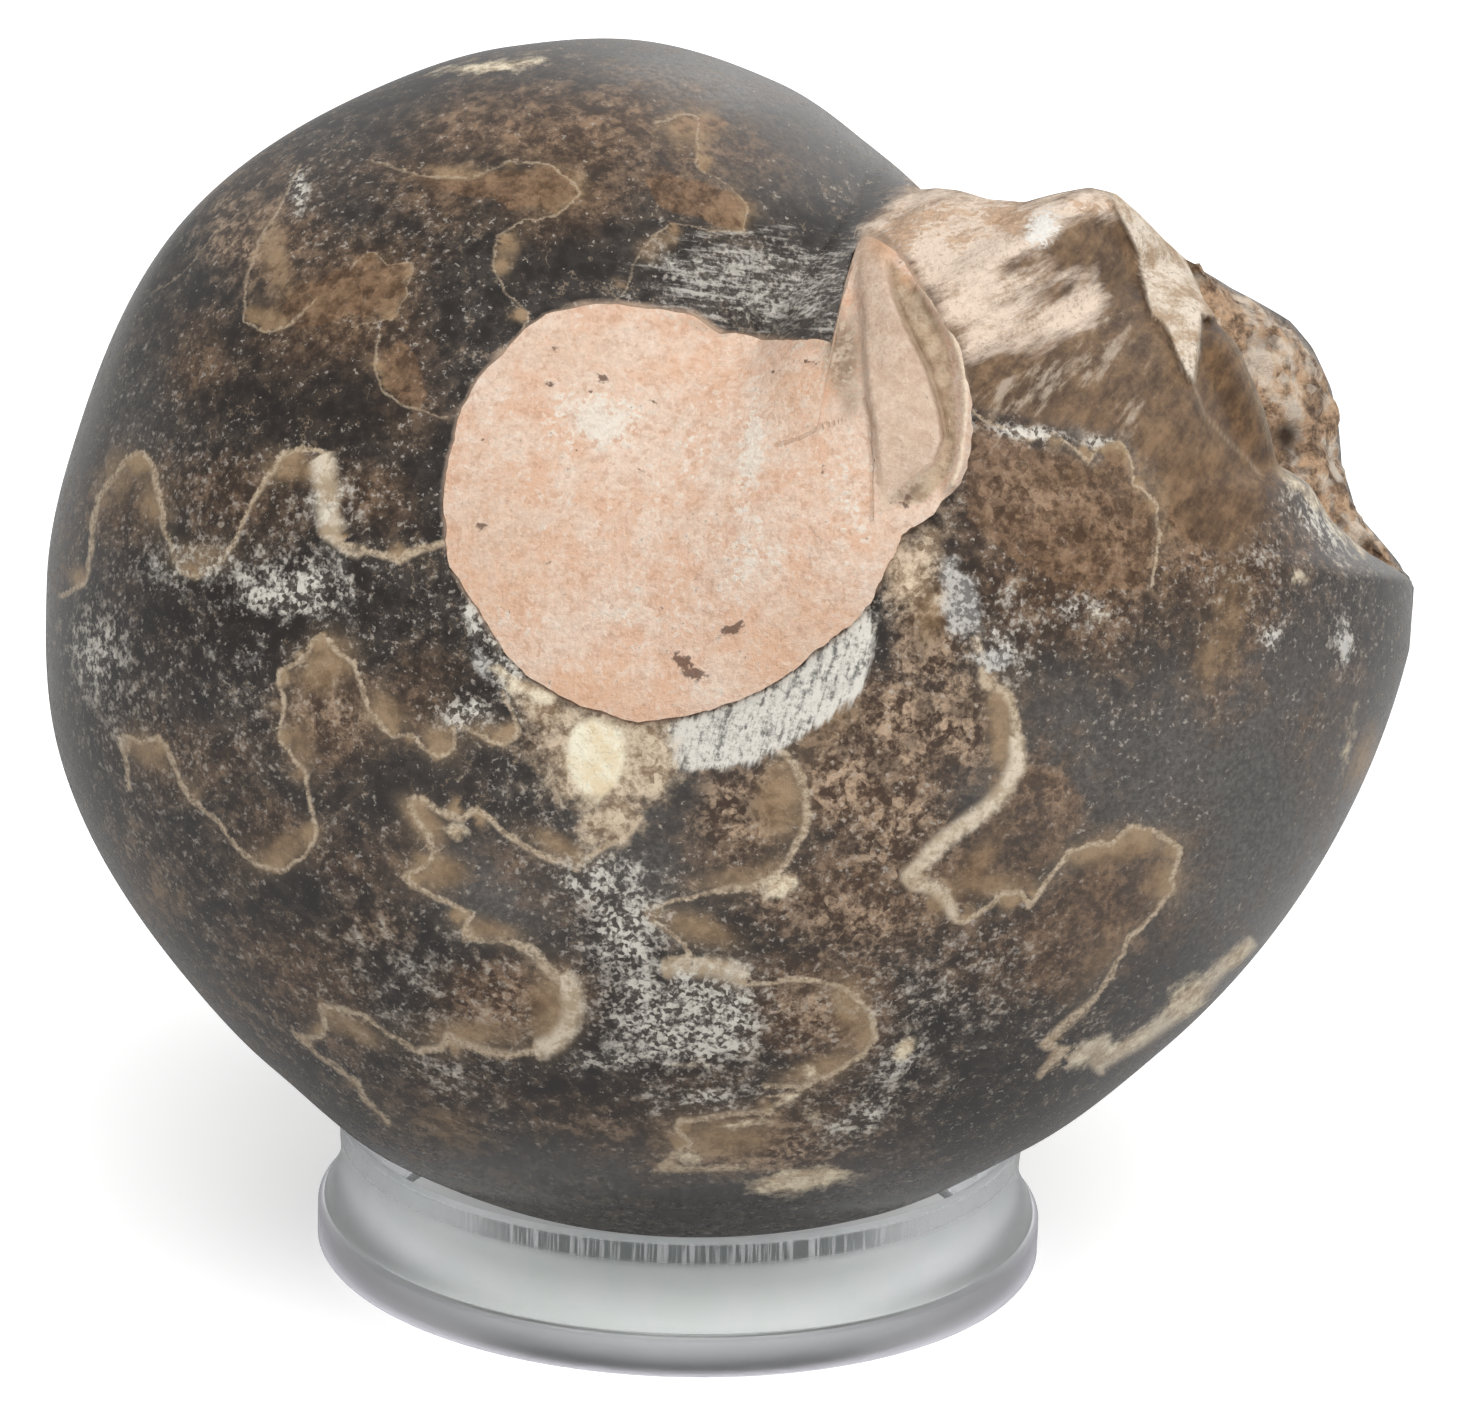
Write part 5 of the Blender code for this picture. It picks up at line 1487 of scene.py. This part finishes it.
def stone_material(patch, flecks):
    """Polished calcite. After a mask comes its share, after a noise where it starts and ends."""
    made, tree, shader = new_material("polished_calcite")
    at = measures(tree, STONE_MEASURES)
    grain = stone_grain(tree, at)
    colour = stone_ground(tree, patch, at, grain)
    colour, salt = stone_salt(tree, flecks, at, grain, colour)
    colour = stone_amber(tree, patch, at, grain, colour)
    colour = stone_sutures(tree, at, grain, colour)
    colour, white, cream = stone_crystals(tree, patch, at, grain, colour)
    colour, septum, golden = broken_face(tree, patch, at, grain, colour)
    colour, crust, dots = broken_crust(tree, patch, flecks, at, grain, colour)
    feed(tree, shader["Base Color"], broken_edges(tree, at, grain, golden, dots, colour))

    rough_area = either(tree, at.core, either(tree, crust, either(
        tree, at.flap, share_of(tree, cream, 0.5))))
    polish = more(tree, grain.mid, 0.22, more(tree, salt, 0.18, 0.16))
    polish = more(tree, either(tree, at.flute, septum), 0.30, polish)
    feed(tree, shader["Roughness"], ramp(tree, rough_area, 0.0, 1.0, polish, 0.75))
    shader["IOR"].default_value = 1.47
    relief = share_of(tree, grain.spongy, rough_area)
    pits = share_of(tree, grain.fine, ramp(tree, either(tree, salt, white), 0.0, 1.0, 0.03, 0.30))
    feed(tree, shader["Normal"], bumped(tree, sums(tree, "ADD", relief, pits), 0.6, 0.45 * MM))
    return made


def matrix_material(patch, flecks):
    """Sandy rock: rubbed sand, its stains, cracks and grains, the lip's leaf and band, and painted
    shade along the lip's groove.
    """
    made, tree, shader = new_material("sandy_matrix")
    at = measures(tree, ROCK_MEASURES)
    place = kept(tree, "place")
    cloud = fractal(tree, place, 0.30, 5.0, 0.66)
    sand = fractal(tree, place, 2.2, 4.0, 0.78)
    mid = fractal(tree, place, 0.9, 4.0, 0.70)
    colour = mottled(tree, cloud, 0.36, 0.64, TONE_SAND)
    rubbed = more(tree, crystals(tree, place, 3.2), 0.30, more(tree, sand, 0.5, mid))
    ragged = share_of(tree, rubbed, 0.55)
    colour = over(tree, ramp(tree, rubbed, 0.92, 1.16), 0.65, colour, TONE_SAND_PALE)
    colour = over(tree, ramp(tree, rubbed, 0.70, 0.84, 1.0, 0.0), 0.45, colour, TONE_SAND_DEEP)
    pale = use(tree, patch, Measure=at.pale, Uneven=ragged, Amount=2.6, Edge=0.30)
    colour = over(tree, pale, 0.8, colour, TONE_PALE_STAIN)
    upright = fractal(tree, stretched(tree, place, 86.0, (8.0, 0.7, 3.0)), 1.0, 3.0, 0.6)
    colour = over(tree, ramp(tree, upright, 0.54, 0.76), 0.20, colour, TONE_SAND_PALE)
    colour = over(tree, at.leaf, 0.7, colour, mottled(tree, mid, 0.36, 0.64, TONE_LEAF))
    colour = over(tree, at.band, 0.75, colour, mottled(tree, mid, 0.34, 0.60, TONE_LIP_BAND))
    # Painted shade along the lip's groove.
    colour = over(tree, at.groove, 0.45, colour, TONE_GROOVE_SHADE)
    olive = use(tree, patch, Measure=at.olive, Uneven=ragged, Amount=2.0, Edge=0.35)
    colour = over(tree, olive, 0.75, colour, mottled(tree, rubbed, 0.74, 1.12, TONE_OLIVE))
    colour = over(tree, at.crest, 0.75, colour, TONE_LIP_RIM)
    colour = over(tree, at.orange, 0.6, colour, TONE_ORANGE_STAIN)
    grains = use(tree, flecks, Fine=sand, Cluster=cloud, Density=0.75, Softness=0.09)
    colour = over(tree, grains, 0.30, colour, TONE_SAND_GRAIN)
    dark = use(tree, patch, Measure=at.dark, Uneven=ragged, Amount=4.0, Edge=0.25)
    colour = over(tree, dark, 0.85, colour, TONE_DARK_STAIN)
    specks = use(tree, flecks, Fine=sand, Cluster=mid, Density=0.10, Softness=0.03)
    colour = over(tree, specks, 0.7, colour, TONE_SAND_SPECK)
    crack = either(tree, at.slanting, either(tree, at.upright, at.short))
    crack = use(tree, patch, Measure=crack, Uneven=mid, Amount=1.4, Edge=0.15)
    feed(tree, shader["Base Color"], over(tree, crack, 0.35, colour, TONE_CRACK))
    feed(tree, shader["Roughness"], ramp(tree, sand, 0.0, 1.0, 0.80, 0.98))
    height = less(tree, sums(tree, "ADD", sand, mid), share_of(tree, crack, 0.5))
    feed(tree, shader["Normal"], bumped(tree, height, 0.7, 0.32 * MM))
    return made


def acrylic_material():
    """Clear acrylic, frosted where it was turned and streaked along its lip. A painted reflection of
    the dark stone darkens the lip's front, and the foot is tinted grey as painted shade.
    """
    made, tree, shader = new_material("clear_acrylic")
    place = tree.nodes.new("ShaderNodeTexCoord").outputs["Object"]
    cove, foot, lip = measure(tree, "frost_and_reflection")
    tool = fractal(tree, stretched(tree, place, 0.0, (0.05, 0.05, 0.00018)), 1.0, 3.0, 0.6)
    haze = fractal(tree, place, 250.0, 4.0, 0.6)
    scored = fractal(tree, stretched(tree, place, 0.0, (0.0005, 0.0005, 0.04)), 1.0, 4.0, 0.7)
    streak = fractal(tree, stretched(tree, place, 0.0, (0.00025, 0.00025, 0.006)), 1.0, 3.0, 0.6)
    # The foot is tinted grey as painted shade.
    tint = tinted(tree, foot, mottled(tree, haze, 0.38, 0.62, TONE_ACRYLIC), TONE_ACRYLIC_FOOT_SHADE)
    # Painted reflection of the dark stone on the lip's front, broken by clear streaks.
    reflection_streaks = mottled(tree, streak, 0.50, 0.62, TONE_LIP_REFLECTION_STREAK)
    feed(tree, shader["Base Color"], tinted(tree, lip, tint, reflection_streaks))
    shader["Transmission Weight"].default_value = 1.0
    shader["IOR"].default_value = 1.49
    clear = ramp(tree, haze, 0.3, 0.7, 0.08, 0.16)
    dull = ramp(tree, foot, 0.0, 1.0, 0.58, 0.85)
    feed(tree, shader["Roughness"], ramp(tree, either(tree, cove, foot), 0.0, 1.0, clear, dull))
    relief = more(tree, share_of(tree, scored, lip), 4.0, share_of(tree, tool, 0.5))
    feed(tree, shader["Normal"], bumped(tree, relief, 0.3, 0.06 * MM))
    return made


# ============================================================ light and floor

def seen_or_seen_through(tree):
    """1 for what the camera sees, directly or through the acrylic."""
    path = tree.nodes.new("ShaderNodeLightPath").outputs
    return either(tree, path["Is Camera Ray"], path["Is Transmission Ray"])


def light_studio():
    """A pale room: brighter above and to the right behind the stone, dimmer on the left."""
    world = bpy.data.worlds.new("studio")
    bpy.context.scene.world = world
    world.use_nodes = True
    tree = world.node_tree
    tree.nodes.clear()
    way = tree.nodes.new("ShaderNodeTexCoord").outputs["Generated"]
    x, y, z = put(tree, "SeparateXYZ", Vector=way).outputs
    behind = ramp(tree, y, *ROOM_BEHIND)
    side = ramp(tree, x, *ROOM_SIDE, ROOM_LEFT, ROOM_RIGHT)
    above = ramp(tree, z, *ROOM_HEIGHT, 0.0, ROOM_ABOVE)
    rear = sums(tree, "ADD", side, above)
    level = ramp(tree, behind, 0.0, 1.0, ROOM_FRONT, rear)
    strength = ramp(tree, seen_or_seen_through(tree), 0.0, 1.0, level, 1.0)
    glow = put(tree, "Background", Color=(1.0, 1.0, 1.0), Strength=strength)
    out = tree.nodes.new("ShaderNodeOutputWorld")
    tree.links.new(glow.outputs[0], out.inputs[0])
    lamp = bpy.data.lights.new("key", "SUN")
    lamp.energy = KEY_STRENGTH
    lamp.angle = math.radians(KEY_SPREAD)
    holder = placed("key", lamp)
    holder.rotation_euler = [math.radians(angle) for angle in KEY_TURN]
    holder.visible_glossy = False


def lay_floor():
    """White paper, shaded where the ring and the fossil stand over it."""
    mesh = bpy.data.meshes.new("floor")
    half = FLOOR_HALF
    mesh.from_pydata([(-half, -half, 0), (half, -half, 0), (half, half, 0), (-half, half, 0)], [],
                     [(0, 1, 2, 3)])
    floor = placed("floor", mesh)
    paper, tree, shader = new_material("white_paper")
    place = tree.nodes.new("ShaderNodeTexCoord").outputs["Object"]
    length = put(tree, "VectorMath", Vector=place)
    length.operation = "LENGTH"
    away = length.outputs["Value"]
    aside = sums(tree, "ABSOLUTE", put(tree, "SeparateXYZ", Vector=place).outputs[0])
    deep = ramp(tree, aside, *CONTACT_SHADE, CONTACT_LEVEL, RING_SHADE_LEVEL)
    bore = ramp(tree, away, *RING_BORE_EDGE, RING_SHADE_LEVEL, deep)
    under = ramp(tree, away, *RING_SHADE, bore, 1.0)
    plain = tinted(tree, seen_or_seen_through(tree), PAPER_TO_STONE, PAPER_TO_EYE)
    feed(tree, shader["Base Color"], tinted(tree, under, (0.0, 0.0, 0.0), plain))
    shader["Emission Color"].default_value = (1.0, 1.0, 1.0, 1.0)
    lift = share_of(tree, seen_or_seen_through(tree), share_of(tree, under, PAPER_LIFT))
    feed(tree, shader["Emission Strength"], lift)
    shader["Roughness"].default_value = 1.0
    shader["Specular IOR Level"].default_value = 0.0
    mesh.materials.append(paper)
    floor.location = (*ring_middle().xy, 0.0)


bpy.context.scene.view_settings.view_transform = "Standard"
coil = coil_matrix()
make_camera(coil)
light_studio()
lay_floor()
patch, flecks = ragged_patch_group(), flecks_group()
ammonite, plug, ring = make_ammonite(), make_plug(), make_ring()
for piece in (ammonite, plug):
    piece.data.transform(coil @ Matrix.Diagonal(WITHIN_MODEL))
for piece, node, slot, material in (
        (ammonite, "ammonite", "polished_calcite", stone_material(patch, flecks)),
        (plug, "umbilical_matrix", "sandy_matrix", matrix_material(patch, flecks)),
        (ring, "display_ring", "clear_acrylic", acrylic_material())):
    piece.data.materials.append(material)
    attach(piece, "root")
    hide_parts(node)

bpy.context.view_layer.update()
